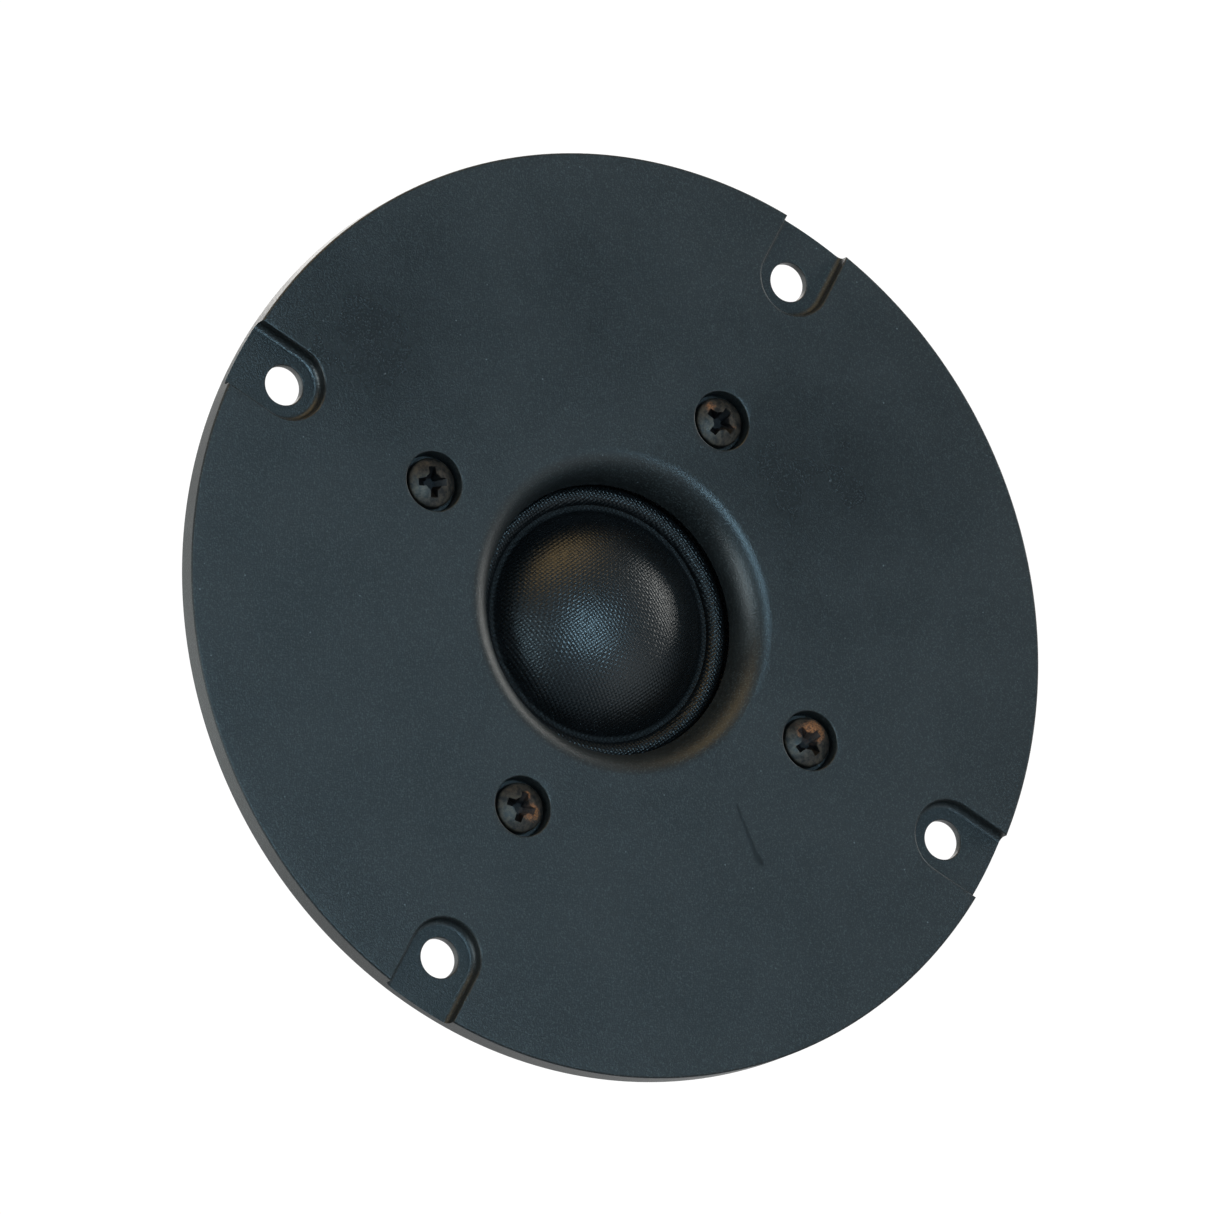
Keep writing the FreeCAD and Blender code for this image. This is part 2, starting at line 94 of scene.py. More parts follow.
PLATE_R, _, SEAT_DEPTH = span("faceplate")
FLANGE_T = -FRONT_Y
GASKET_R, GROOVE_FLOOR, _ = span("flange_gasket")
MAGNET_R, MAGNET_NEAR, MAGNET_FAR = span("magnet")
TOP_R, TOP_NEAR, TOP_FAR = span("top_plate")
BACK_R, BACK_NEAR, BACK_FAR = span("back_plate")
CUP_FLANGE_R, CUP_NEAR, CUP_FAR = span("rear_chamber")
SEAL_R, SEAL_NEAR, SEAL_FAR = span("chamber_seal")
CLOTH_R, _, CLOTH_UNDER = span("surround")
DOME_R, CROWN, DOME_SKIRT = span("dome")
COIL_R, COIL_NEAR, COIL_FAR = span("voice_coil_winding")
_, WOOL_NEAR, WOOL_FAR = span("chamber_wool")
FELT_R, FELT_NEAR, FELT_FAR = span("pole_felt")

# Faceplate
LIP_R = 18.5
THROAT_R = 15.3
THROAT_DEPTH = 4.45
BOSS_R = 33.0
RECESS_R = 24.1
RECESS_DEPTH = 6.3
UNDERCUT_R = 17.0
UNDERCUT_DEPTH = 5.3
EDGE_ROUND = 0.25
GROOVE_R = (38.7, 41.0)
BAFFLE_RING_R = 45.8
BAFFLE_HOLE_R = 2.25
POCKET_R = 4.2
POCKET_DEPTH = 1.6
POCKET_FOOT = 0.7
SCREW_RING_R = 26.1
BORE_R = 3.35
BORE_DEPTH = 2.0
CHANNEL_WIDTH = 8.6
CHANNEL_DEPTH = 5.6
GUSSET_COUNT = 8
GUSSET_T = 1.5
GUSSET_R = 37.4
GUSSET_DEPTH = 7.6

# Heads of the motor screws
HEAD_R = 2.8
HEAD_TOP = 0.08
HEAD_RIM = 0.75

# Dome and surround. The cloth is glued in the valley between them.
CLOTH_T = 0.2
ROLL_R = 14.6
ROLL_HALF = 1.2
ROLL_RISE = 0.9
VALLEY = ((12.70, 6.32), (12.84, 6.45), (13.00, 6.48), (13.14, 6.47), (13.24, 6.455),
          (13.33, 6.435), (13.43, 6.40))
GLUED_R = 13.45

# Motor
MAGNET_BORE_R = 16.5
GAP_R = 13.45
BACK_BORE_R = 9.0
FELT_BORE_R = 5.5
FORMER_R = 12.82
CLEARANCE_R = 1.7
SHANK_R = 1.5

DIAGONALS = [45.0 + 90.0 * quarter for quarter in range(4)]
RECESS_TURNS = (38.0, -12.0, 57.0, 22.0)


# ---- Mesh builders ----

def place(radius, degrees, depth):
    """Point in metres at a radius, an angle from +X towards +Z, and a depth."""
    angle = math.radians(degrees)
    return Vector((radius * math.cos(angle), FRONT_Y + depth, radius * math.sin(angle))) * MM


def linked(name, data):
    """A new object in the scene, with that mesh, lamp or camera."""
    thing = bpy.data.objects.new(name, data)
    bpy.context.scene.collection.objects.link(thing)
    return thing


def new_object(name, mesh_data):
    mesh = bpy.data.meshes.new(name)
    mesh_data.to_mesh(mesh)
    mesh_data.free()
    return linked(name, mesh)


def rounded(corner_list, steps=5):
    """Outline from (radius, depth, rounding) corners of a closed profile, with arcs at the corners."""
    outline = []
    count = len(corner_list)
    for index, (radius, depth, rounding) in enumerate(corner_list):
        here = Vector((radius, depth))
        if rounding == 0:
            outline.append(here)
            continue
        back = (Vector(corner_list[index - 1][:2]) - here).normalized()
        ahead = (Vector(corner_list[(index + 1) % count][:2]) - here).normalized()
        half = back.angle(ahead) / 2
        centre = here + (back + ahead).normalized() * (rounding / math.sin(half))
        first = here + back * (rounding / math.tan(half)) - centre
        last = here + ahead * (rounding / math.tan(half)) - centre
        for step in range(steps + 1):
            ray = first.slerp(last, step / steps)
            outline.append(centre + ray * (rounding / ray.length))
    return outline


def divided(outline, radius, parts):
    """The outline with its straight wall at that radius cut into equal parts."""
    finer = []
    for index, point in enumerate(outline):
        finer.append(point)
        following = outline[(index + 1) % len(outline)]
        if max(abs(point.x - radius), abs(following.x - radius)) < 0.01:
            finer += [point.lerp(following, share / parts) for share in range(1, parts)]
    return finer


def lathe(name, outline, segments=192, closed=True, shape=None):
    """Solid of revolution about the axis. shape(radius, degrees, depth) may move each point."""
    mesh = bmesh.new()
    rings = []
    for radius, depth in outline:
        ring = []
        turns = 1 if radius < 1e-6 else segments
        for index in range(turns):
            degrees = 360.0 * index / segments
            point = (radius, depth) if shape is None else shape(radius, degrees, depth)
            ring.append(mesh.verts.new(place(point[0], degrees, point[1])))
        rings.append(ring)
    pairs = list(zip(rings, rings[1:]))
    if closed:
        pairs.append((rings[-1], rings[0]))
    for near, far in pairs:
        if len(near) == 1 and len(far) == 1:
            continue
        for index in range(segments):
            following = (index + 1) % segments
            corner = [near[index % len(near)], near[following % len(near)],
                      far[following % len(far)], far[index % len(far)]]
            mesh.faces.new(list(dict.fromkeys(corner)))
    bmesh.ops.recalc_face_normals(mesh, faces=mesh.faces)
    return new_object(name, mesh)


def plain_ring(name, radii, depths, rounding, segments=256):
    """Ring of a rectangular section. Its corners are rounded in turn, from the inner near one."""
    (inner, outer), (near, far) = radii, depths
    section = ((inner, near), (outer, near), (outer, far), (inner, far))
    return lathe(name, rounded([(*point, soft) for point, soft in zip(section, rounding)]), segments)


def stacked(name, loops):
    """Closed solid from loops of points in metres, one above the other, with flat ends."""
    mesh = bmesh.new()
    rings = [[mesh.verts.new(point) for point in loop] for loop in loops]
    count = len(rings[0])
    for near, far in zip(rings, rings[1:]):
        for index in range(count):
            following = (index + 1) % count
            mesh.faces.new([near[index], near[following], far[following], far[index]])
    mesh.faces.new(rings[0])
    mesh.faces.new(list(reversed(rings[-1])))
    bmesh.ops.recalc_face_normals(mesh, faces=mesh.faces)
    return new_object(name, mesh)


def joined(name, pieces):
    """One object from several, each left as its own shell."""
    mesh = bmesh.new()
    for piece in pieces:
        piece.data.transform(piece.matrix_world)
        mesh.from_mesh(piece.data)
        bpy.data.objects.remove(piece)
    return new_object(name, mesh)


def spun(piece, degrees, radius=0.0, own_turn=0.0):
    """Moves a piece built on the axis out to a radius, after a turn about its own axis."""
    turn = Matrix.Rotation(math.radians(-own_turn), 4, "Y")
    out = Matrix.Translation(Vector((radius * MM, 0, 0)))
    swing = Matrix.Rotation(math.radians(-degrees), 4, "Y")
    piece.data.transform(swing @ out @ turn)
    return piece


def copy_of(piece, name):
    return linked(name, piece.data.copy())


def settle_modifiers(piece):
    """Applies every modifier of a piece to its mesh."""
    bpy.context.view_layer.update()
    evaluated = piece.evaluated_get(bpy.context.evaluated_depsgraph_get())
    mesh = bpy.data.meshes.new_from_object(evaluated)
    piece.modifiers.clear()
    piece.data = mesh


def boolean(piece, tool, operation="DIFFERENCE"):
    modifier = piece.modifiers.new("boolean", "BOOLEAN")
    modifier.object = tool
    modifier.operation = operation
    modifier.solver = "EXACT"
    settle_modifiers(piece)
    bpy.data.objects.remove(tool)


def close_tears(piece):
    """Weld and fill the hairline tears that a union can leave where two faces lie in one plane."""
    mesh = bmesh.new()
    mesh.from_mesh(piece.data)
    torn = [vertex for vertex in mesh.verts if vertex.is_boundary]
    bmesh.ops.remove_doubles(mesh, verts=torn, dist=0.045 * MM)
    bmesh.ops.holes_fill(mesh, edges=[edge for edge in mesh.edges if edge.is_boundary])
    mesh.to_mesh(piece.data)
    mesh.free()


def tidy_surface(piece, angle=35.0):
    """Smooth shading that keeps hard edges, with flat faces kept flat."""
    mesh = piece.data
    mesh.polygons.foreach_set("use_smooth", [True] * len(mesh.polygons))
    mesh.set_sharp_from_angle(angle=math.radians(angle))
    weighted = piece.modifiers.new("weighted normals", "WEIGHTED_NORMAL")
    weighted.keep_sharp = True
    weighted.weight = 80


def finish_piece(piece, material, body, slot, *nodes, angle=35.0):
    """Shading, material, body and the CAD nodes that the piece stands for. The slot argument is not
    used.
    """
    tidy_surface(piece, angle)
    piece.data.materials.clear()
    piece.data.materials.append(material)
    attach(piece, body)
    if nodes:
        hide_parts(*nodes)
    return piece


# ---- Materials ----

THREAD_PITCH = 0.36
WEAVE_TURN = 20.0
SCUFF = ((7.3, -23.6), (8.0, -29.6))
SCRATCHES = (((12.0, 27.8), (14.4, 25.5), 0.04), ((12.9, 28.2), (15.3, 26.0), 0.03),
             ((20.8, 33.1), (23.3, 34.1), 0.05))
SCUFF_END = (8.3, -30.3)
# Patches painted darker as painted shade, and also made smoother: (right, up), size, strength.
SHADE_AND_GLOSS_PATCHES = (((-20.0, 36.0), 24.0, 0.9), ((27.0, 11.0), 27.0, 0.80),
                   ((5.0, 32.0), 20.0, 0.50))


class Surface:
    """Builds one Principled material. Texture places are the row frame's, in millimetres."""

    def __init__(self, name, base, roughness, metallic=0.0, specular=0.5):
        self.material = bpy.data.materials.new(name)
        self.material.use_nodes = True
        self.tree = self.material.node_tree
        self.shader = self.tree.nodes["Principled BSDF"]
        self.paint((*base, 1.0), roughness)
        self.set("Metallic", metallic)
        self.set("Specular IOR Level", specular)
        coordinates = self.node("TexCoord")
        self.where = self.vector("SCALE", coordinates.outputs["Object"], scale=1 / MM)

    def node(self, kind):
        return self.tree.nodes.new("ShaderNode" + kind)

    def feed(self, socket, value):
        """Gives a socket a value: another node's output, or a constant."""
        if isinstance(value, bpy.types.NodeSocket):
            self.tree.links.new(value, socket)
        else:
            socket.default_value = value

    def set(self, name, value):
        self.feed(self.shader.inputs[name], value)

    def paint(self, colour, roughness):
        self.set("Base Color", colour)
        self.set("Roughness", roughness)

    def vector(self, operation, first, second=None, scale=None):
        node = self.node("VectorMath")
        node.operation = operation
        self.feed(node.inputs[0], first)
        if second is not None:
            self.feed(node.inputs[1], second)
        if scale is not None:
            node.inputs["Scale"].default_value = scale
        single = operation in ("LENGTH", "DISTANCE", "DOT_PRODUCT")
        return node.outputs["Value" if single else "Vector"]

    def math(self, operation, first, second=0.0, third=0.0):
        node = self.node("Math")
        node.operation = operation
        for socket, value in zip(node.inputs, (first, second, third)):
            self.feed(socket, value)
        return node.outputs[0]

    def times(self, first, second):
        return self.math("MULTIPLY", first, second)

    def depth(self):
        """Place along the axis."""
        node = self.node("SeparateXYZ")
        self.feed(node.inputs[0], self.where)
        return node.outputs["Y"]

    def noise(self, size, detail=2.0, roughness=0.5, where=None):
        """Noise whose features are about size millimetres across."""
        node = self.node("TexNoise")
        self.feed(node.inputs["Vector"], where or self.where)
        node.inputs["Scale"].default_value = 1.0 / size
        node.inputs["Detail"].default_value = detail
        node.inputs["Roughness"].default_value = roughness
        return node.outputs["Fac"]

    def cells(self, size):
        """Distance to the middle of the nearest cell, for cells of about size millimetres."""
        node = self.node("TexVoronoi")
        self.feed(node.inputs["Vector"], self.where)
        node.inputs["Scale"].default_value = 1.0 / size
        return node.outputs["Distance"]

    def ramp(self, value, low, high, start=0.0, end=1.0):
        """Goes smoothly from start to end as value goes from low to high."""
        node = self.node("MapRange")
        node.interpolation_type = "SMOOTHSTEP"
        for socket, number in zip(node.inputs, (value, low, high, start, end)):
            self.feed(socket, number)
        return node.outputs[0]

    def mix(self, factor, first, second):
        node = self.node("Mix")
        node.data_type = "RGBA"
        self.feed(node.inputs["Factor"], factor)
        for socket, colour in ((node.inputs[6], first), (node.inputs[7], second)):
            self.feed(socket, (*colour, 1.0) if isinstance(colour, tuple) else colour)
        return node.outputs[2]

    def chance(self, first, second):
        """A random number from 0 to 1 for each pair of whole numbers."""
        pair = self.node("CombineXYZ")
        self.feed(pair.inputs[0], first)
        self.feed(pair.inputs[1], second)
        node = self.node("TexWhiteNoise")
        self.feed(node.inputs["Vector"], pair.outputs[0])
        return node.outputs["Value"]

    def flat(self):
        """The place seen along the axis, without its depth."""
        return self.vector("MULTIPLY", self.where, (1.0, 0.0, 1.0))

    def radius(self):
        """Distance from the tweeter's axis."""
        return self.vector("LENGTH", self.flat())

    def stroke(self, start, end, first_width, last_width):
        """1 along a mark from start to end, (right, up) each, whose half width changes evenly."""
        begin = Vector((start[0], 0.0, start[1]))
        run = Vector((end[0], 0.0, end[1])) - begin
        reach = self.vector("SUBTRACT", self.flat(), tuple(begin))
        share = self.vector("DOT_PRODUCT", reach, tuple(run / run.length_squared))
        share = self.math("MINIMUM", self.math("MAXIMUM", share, 0.0), 1.0)
        nearest = self.vector("MULTIPLY", tuple(run), self.spread(share))
        away = self.vector("DISTANCE", reach, nearest)
        away = self.math("ADD", away, self.times(self.noise(0.4, 3.0), 0.12))
        width = self.math("MULTIPLY_ADD", share, last_width - first_width, first_width + 0.06)
        return self.ramp(self.math("DIVIDE", away, width), 1.1, 0.6)

    def spread(self, value):
        """A vector whose three numbers are the same value."""
        node = self.node("CombineXYZ")
        for socket in node.inputs:
            self.feed(socket, value)
        return node.outputs[0]

    def bump(self, height, rise, strength=1.0, onto=None):
        """Bump whose full height is rise millimetres."""
        node = self.node("Bump")
        node.inputs["Strength"].default_value = strength
        node.inputs["Distance"].default_value = rise * MM
        self.feed(node.inputs["Height"], height)
        if onto is not None:
            self.feed(node.inputs["Normal"], onto)
        self.set("Normal", node.outputs["Normal"])
        return node.outputs["Normal"]


def plate_plastic():
    """Satin black moulding with a spark texture, smoother patches painted darker as painted shade,
    specks, a scuff and scratches.
    """
    s = Surface("faceplate_moulding", (0.008, 0.009, 0.009), 0.42)
    mottle = s.noise(9.0, 3.0, 0.55)
    grain = s.noise(0.19, 2.0, 0.65)
    tone = s.mix(s.ramp(mottle, 0.35, 0.65), (0.0047, 0.0053, 0.0053), (0.0064, 0.0071, 0.0072))
    # The grain's raised specks are painted lighter: partly the grain's own tone, partly painted
    # highlight.
    tone = s.mix(s.ramp(grain, 0.48, 0.72), tone, (0.032, 0.036, 0.036))
    sheen = s.ramp(mottle, 0.3, 0.7, 0.40, 0.45)
    shade_and_gloss = 0.0
    for (right, up), size, share in SHADE_AND_GLOSS_PATCHES:
        reach = s.vector("DISTANCE", s.flat(), (right, 0.0, up))
        ragged = s.math("ADD", reach, s.times(s.noise(6.0, 2.0, 0.5), 12.0))
        shade_and_gloss = s.math("MAXIMUM", shade_and_gloss, s.ramp(ragged, size + 8.0, 0.0, 0.0, share))
    # Painted shade: the patches are painted darker; below, they are also made smoother.
    tone = s.mix(s.times(shade_and_gloss, 0.35), tone, (0.002, 0.0022, 0.0024))
    sheen = s.math("SUBTRACT", sheen, s.times(shade_and_gloss, 0.22))
    specks = s.times(s.ramp(s.cells(2.2), 0.055, 0.035), s.ramp(s.noise(5.0), 0.5, 0.56))
    tone = s.mix(s.times(specks, 0.5), tone, (0.16, 0.17, 0.18))
    for start, end, width in SCRATCHES:
        tone = s.mix(s.times(s.stroke(start, end, width, width), 0.25), tone,
                     (0.07, 0.08, 0.08))
    scuff = s.stroke(*SCUFF, 0.20, 0.36)
    blob = s.stroke(SCUFF[1], SCUFF_END, 0.50, 0.58)
    worn = s.math("MAXIMUM", scuff, blob)
    s.paint(s.mix(s.times(worn, 0.9), tone, (0.002, 0.002, 0.002)),
            s.math("SUBTRACT", sheen, s.times(worn, 0.12)))
    fine = s.bump(grain, 0.040, 1.0)
    s.bump(s.noise(1.4, 2.0), 0.02, 0.35, onto=fine)
    return s.material


def dome_cloth(name, specular, roughness, relief):
    """Plain weave with a soft black coating that leaves the threads showing, relief mm high; the
    valleys between threads are painted darker as painted shade.
    """
    s = Surface(name, (0.004, 0.0043, 0.005), roughness, specular=specular)
    turn = math.radians(WEAVE_TURN)
    east = s.vector("DOT_PRODUCT", s.where, (math.cos(turn), 0.0, math.sin(turn)))
    north = s.vector("DOT_PRODUCT", s.where, (-math.sin(turn), 0.0, math.cos(turn)))
    warp = s.math("DIVIDE", east, THREAD_PITCH)
    weft = s.math("DIVIDE", north, THREAD_PITCH)
    column, row = s.math("FLOOR", warp), s.math("FLOOR", weft)
    over = s.math("PINGPONG", s.math("ADD", column, row), 1.0)
    across = s.math("SINE", s.times(s.math("FRACT", warp), math.pi))
    along = s.math("SINE", s.times(s.math("FRACT", weft), math.pi))
    warp_up = s.times(across, s.math("MULTIPLY_ADD", along, 0.45, 0.55))
    weft_up = s.times(along, s.math("MULTIPLY_ADD", across, 0.45, 0.55))
    height = s.math("ADD", s.times(warp_up, over),
                    s.times(weft_up, s.math("SUBTRACT", 1.0, over)))
    height = s.times(height, s.math("MULTIPLY_ADD", s.chance(column, row), 0.5, 0.75))
    # Painted shade: the valleys between threads are painted darker than the crowns.
    tone = s.mix(s.ramp(height, 0.2, 1.0), (0.0015, 0.0017, 0.002), (0.005, 0.0055, 0.006))
    tone = s.mix(s.ramp(s.noise(3.5, 2.0), 0.4, 0.65), tone, (0.005, 0.005, 0.0055))
    s.set("Base Color", tone)
    sheen = s.ramp(height, 0.25, 1.0, roughness + 0.06, roughness - 0.06)
    s.set("Roughness", s.math("ADD", sheen, s.ramp(s.noise(0.6, 2.0, 0.6), 0.3, 0.7, -0.03, 0.03)))
    woven = s.bump(height, relief, 1.0)
    s.bump(s.noise(0.28, 2.0, 0.6), 0.014, 0.8, onto=woven)
    return s.material


def screw_steel(name, centre, spots):
    """Black oxide steel. Each rust spot is (right, up, radius) from the screw's centre."""
    s = Surface(name, (0.045, 0.038, 0.032), 0.45, metallic=0.7)
    patina = s.noise(0.6, 4.0, 0.65)
    tone = s.mix(s.ramp(patina, 0.35, 0.68), (0.018, 0.016, 0.015), (0.064, 0.048, 0.036))
    rust = 0.0
    for right, up, radius in spots:
        spot = Vector((centre.x / MM + right, 0.0, centre.z / MM + up))
        reach = s.vector("DISTANCE", s.flat(), tuple(spot))
        ragged = s.math("ADD", reach, s.times(s.noise(0.45, 5.0, 0.75), 1.8))
        rust = s.math("MAXIMUM", rust, s.ramp(ragged, radius + 1.30, radius + 0.70))
    rusty = s.mix(s.ramp(s.noise(0.22, 4.0, 0.7), 0.3, 0.7), (0.035, 0.010, 0.004),
                  (0.30, 0.11, 0.035))
    tone = s.mix(rust, tone, rusty)
    reach = s.vector("DISTANCE", s.flat(), (centre.x / MM, 0.0, centre.z / MM))
    head = s.math("MULTIPLY_ADD", s.math("POWER", reach, 2.0), (HEAD_RIM - HEAD_TOP) / HEAD_R ** 2,
                  HEAD_TOP + FRONT_Y)
    # Painted shade: the cross recess is painted near black.
    recess_shade = s.times(s.ramp(s.math("SUBTRACT", s.depth(), head), 0.04, 0.22),
                   s.ramp(reach, 2.3, 2.1))
    s.set("Base Color", s.mix(s.times(recess_shade, 0.85), tone, (0.004, 0.005, 0.007)))
    s.set("Metallic", s.math("SUBTRACT", 0.7, s.times(rust, 0.7)))
    s.set("Roughness", s.math("ADD", s.ramp(patina, 0.3, 0.7, 0.38, 0.52),
                              s.times(rust, 0.35)))
    s.bump(s.noise(0.12, 4.0, 0.65), 0.014, 0.7)
    return s.material


def ferrite():
    """Sintered ferrite: dark, slightly porous, with ground end faces and dusty chips."""
    s = Surface("ferrite_ceramic", (0.035, 0.036, 0.038), 0.62, specular=0.4)
    cloud = s.noise(6.0, 4.0, 0.6)
    tone = s.mix(s.ramp(cloud, 0.35, 0.7), (0.021, 0.023, 0.026), (0.040, 0.043, 0.047))
    shaded_pits = s.ramp(s.cells(0.55), 0.10, 0.0)
    # Painted shade: the pits are painted darker.
    tone = s.mix(s.times(shaded_pits, 0.7), tone, (0.010, 0.010, 0.010))
    edge = s.ramp(s.radius(), MAGNET_R - 0.75, MAGNET_R - 0.25)
    dusty = s.times(edge, s.ramp(s.noise(1.1, 4.0, 0.7), 0.50, 0.68))
    s.paint(s.mix(s.times(dusty, 0.22), tone, (0.16, 0.16, 0.16)),
            s.ramp(cloud, 0.3, 0.7, 0.52, 0.72))
    coarse = s.bump(s.noise(0.30, 4.0, 0.6), 0.05, 0.5)
    s.bump(shaded_pits, -0.05, 0.5, onto=coarse)
    return s.material


def plated_steel():
    """Zinc-plated steel with turning rings, cloudy passivation and a few dull patches."""
    s = Surface("zinc_plated_steel", (0.50, 0.50, 0.48), 0.34, metallic=1.0)
    cloud = s.noise(5.0, 4.0, 0.6)
    tone = s.mix(s.ramp(cloud, 0.3, 0.7), (0.44, 0.45, 0.45), (0.60, 0.59, 0.55))
    warm = s.ramp(s.noise(11.0, 2.0), 0.45, 0.7)
    tone = s.mix(s.times(warm, 0.35), tone, (0.56, 0.50, 0.38))
    s.paint(tone, s.ramp(s.noise(1.8, 4.0, 0.65), 0.3, 0.7, 0.26, 0.46))
    rings = s.math("SINE", s.times(s.radius(), 2 * math.pi / 0.16))
    turned = s.bump(rings, 0.004, 0.35)
    s.bump(s.noise(0.25, 3.0), 0.010, 0.4, onto=turned)
    return s.material


def chamber_plastic():
    """Black ABS with a coarser spark texture than the faceplate's."""
    s = Surface("chamber_moulding", (0.022, 0.022, 0.024), 0.55, specular=0.45)
    mottle = s.noise(7.0, 3.0, 0.5)
    grain = s.noise(0.35, 2.0, 0.6)
    tone = s.mix(s.ramp(mottle, 0.35, 0.65), (0.018, 0.018, 0.020), (0.027, 0.027, 0.029))
    s.paint(s.mix(s.ramp(grain, 0.55, 0.8), tone, (0.045, 0.045, 0.047)),
            s.ramp(mottle, 0.3, 0.7, 0.48, 0.60))
    s.bump(grain, 0.035, 0.6)
    return s.material


def foam():
    """Closed-cell foam, with cut cells on its faces."""
    s = Surface("gasket_foam", (0.030, 0.030, 0.031), 0.85, specular=0.25)
    cells = s.cells(0.45)
    # Painted shade: the hollows of the cut cells are painted darker than their rims.
    s.paint(s.mix(s.ramp(cells, 0.1, 0.7), (0.012, 0.012, 0.012), (0.05, 0.05, 0.052)),
            s.ramp(s.noise(2.0), 0.3, 0.7, 0.78, 0.92))
    s.bump(cells, 0.12, 0.7)
    return s.material


def seal_rubber():
    s = Surface("seal_rubber", (0.018, 0.018, 0.018), 0.6, specular=0.4)
    bloom = s.ramp(s.noise(2.5, 4.0, 0.6), 0.45, 0.7)
    s.paint(s.mix(bloom, (0.015, 0.015, 0.015), (0.035, 0.034, 0.032)),
            s.ramp(bloom, 0.0, 1.0, 0.52, 0.72))
    s.bump(s.noise(0.3, 2.0), 0.02, 0.4)
    return s.material


def carrier_plastic():
    """Glass-filled nylon: dark grey with short pale fibres near the surface."""
    s = Surface("carrier_nylon", (0.045, 0.045, 0.044), 0.5, specular=0.45)
    stretched = s.vector("MULTIPLY", s.where, (1.0, 1.0, 0.18))
    fibres = s.ramp(s.noise(0.10, 1.0, 0.5, where=stretched), 0.62, 0.72)
    tone = s.mix(s.ramp(s.noise(4.0, 3.0), 0.35, 0.7), (0.036, 0.036, 0.035), (0.054, 0.054, 0.052))
    s.paint(s.mix(s.times(fibres, 0.3), tone, (0.14, 0.14, 0.13)),
            s.ramp(s.noise(1.0, 3.0), 0.3, 0.7, 0.42, 0.6))
    s.bump(s.noise(0.25, 3.0), 0.02, 0.5)
    return s.material


def metal(name, dark, light, roughness, grain=0.3):
    """Bare metal with cloudy tone and fine unevenness."""
    s = Surface(name, light, roughness, metallic=1.0)
    s.paint(s.mix(s.ramp(s.noise(1.6, 4.0, 0.6), 0.3, 0.7), dark, light),
            s.ramp(s.noise(0.8, 4.0, 0.6), 0.3, 0.7, roughness - 0.08, roughness + 0.1))
    s.bump(s.noise(grain, 3.0), 0.012, 0.5)
    return s.material


def felt(name, dark, light, fibre=0.16):
    """Pressed or loose fibres: stretched noise in two directions."""
    s = Surface(name, light, 0.95, specular=0.15)
    along = s.noise(fibre, 3.0, 0.7, where=s.vector("MULTIPLY", s.where, (0.25, 1.0, 1.0)))
    across = s.noise(fibre, 3.0, 0.7, where=s.vector("MULTIPLY", s.where, (1.0, 1.0, 0.25)))
    mat = s.math("MAXIMUM", along, across)
    s.paint(s.mix(s.ramp(mat, 0.35, 0.75), dark, light), s.ramp(mat, 0.3, 0.8, 0.88, 1.0))
    s.set("Sheen Weight", 0.3)
    s.set("Sheen Roughness", 0.5)
    s.bump(mat, 0.25, 0.8)
    return s.material


def amber_glue():
    s = Surface("amber_glue", (0.16, 0.09, 0.03), 0.25)
    s.paint(s.mix(s.noise(0.8, 3.0), (0.10, 0.05, 0.015), (0.24, 0.14, 0.05)),
            s.ramp(s.noise(0.4, 2.0), 0.3, 0.7, 0.18, 0.34))
    s.bump(s.noise(0.6, 2.0), 0.05, 0.4)
    return s.material


PLATE = plate_plastic()
CLOTH = dome_cloth("coated_cloth", 0.5, 0.30, 0.027)
ROLL_CLOTH = dome_cloth("roll_cloth", 0.34, 0.32, 0.055)
VALLEY_CLOTH = dome_cloth("glued_cloth", 0.25, 0.62, 0.045)
FERRITE = ferrite()
STEEL = plated_steel()
CHAMBER = chamber_plastic()
FOAM = foam()
RUBBER = seal_rubber()
CARRIER = carrier_plastic()
COPPER = metal("bare_copper", (0.50, 0.22, 0.11), (0.78, 0.40, 0.24), 0.32)
TIN = metal("tinned_brass", (0.50, 0.49, 0.47), (0.60, 0.59, 0.56), 0.38)
SOLDER = metal("solder", (0.42, 0.42, 0.43), (0.66, 0.66, 0.67), 0.34, grain=0.2)
FOIL = metal("aluminium_foil", (0.62, 0.62, 0.63), (0.80, 0.80, 0.81), 0.30)
FELT = felt("pressed_felt", (0.030, 0.030, 0.031), (0.11, 0.11, 0.11))
WADDING = felt("loose_wadding", (0.45, 0.44, 0.41), (0.82, 0.81, 0.77), fibre=0.3)
GLUE = amber_glue()


# ---- Camera ----

CAMERA_PLACE = Vector((-0.5781, -1.0480, -0.1121))
CAMERA_AIM = Vector((-0.0013, -0.0018, 0.0010))
CAMERA_ROLL = 15.32
CAMERA_LENS = 323.57

camera_data = bpy.data.cameras.new("camera")
camera_data.lens = CAMERA_LENS
camera_data.sensor_width = 36.0
camera_data.clip_start = 0.05
camera = linked("camera", camera_data)
camera.location = CAMERA_PLACE
look = (CAMERA_AIM - CAMERA_PLACE).to_track_quat("-Z", "Y")
camera.rotation_mode = "QUATERNION"
roll = Matrix.Rotation(math.radians(-CAMERA_ROLL), 3, "Z").to_quaternion()
camera.rotation_quaternion = look @ roll
bpy.context.scene.camera = camera


# ---- Faceplate ----

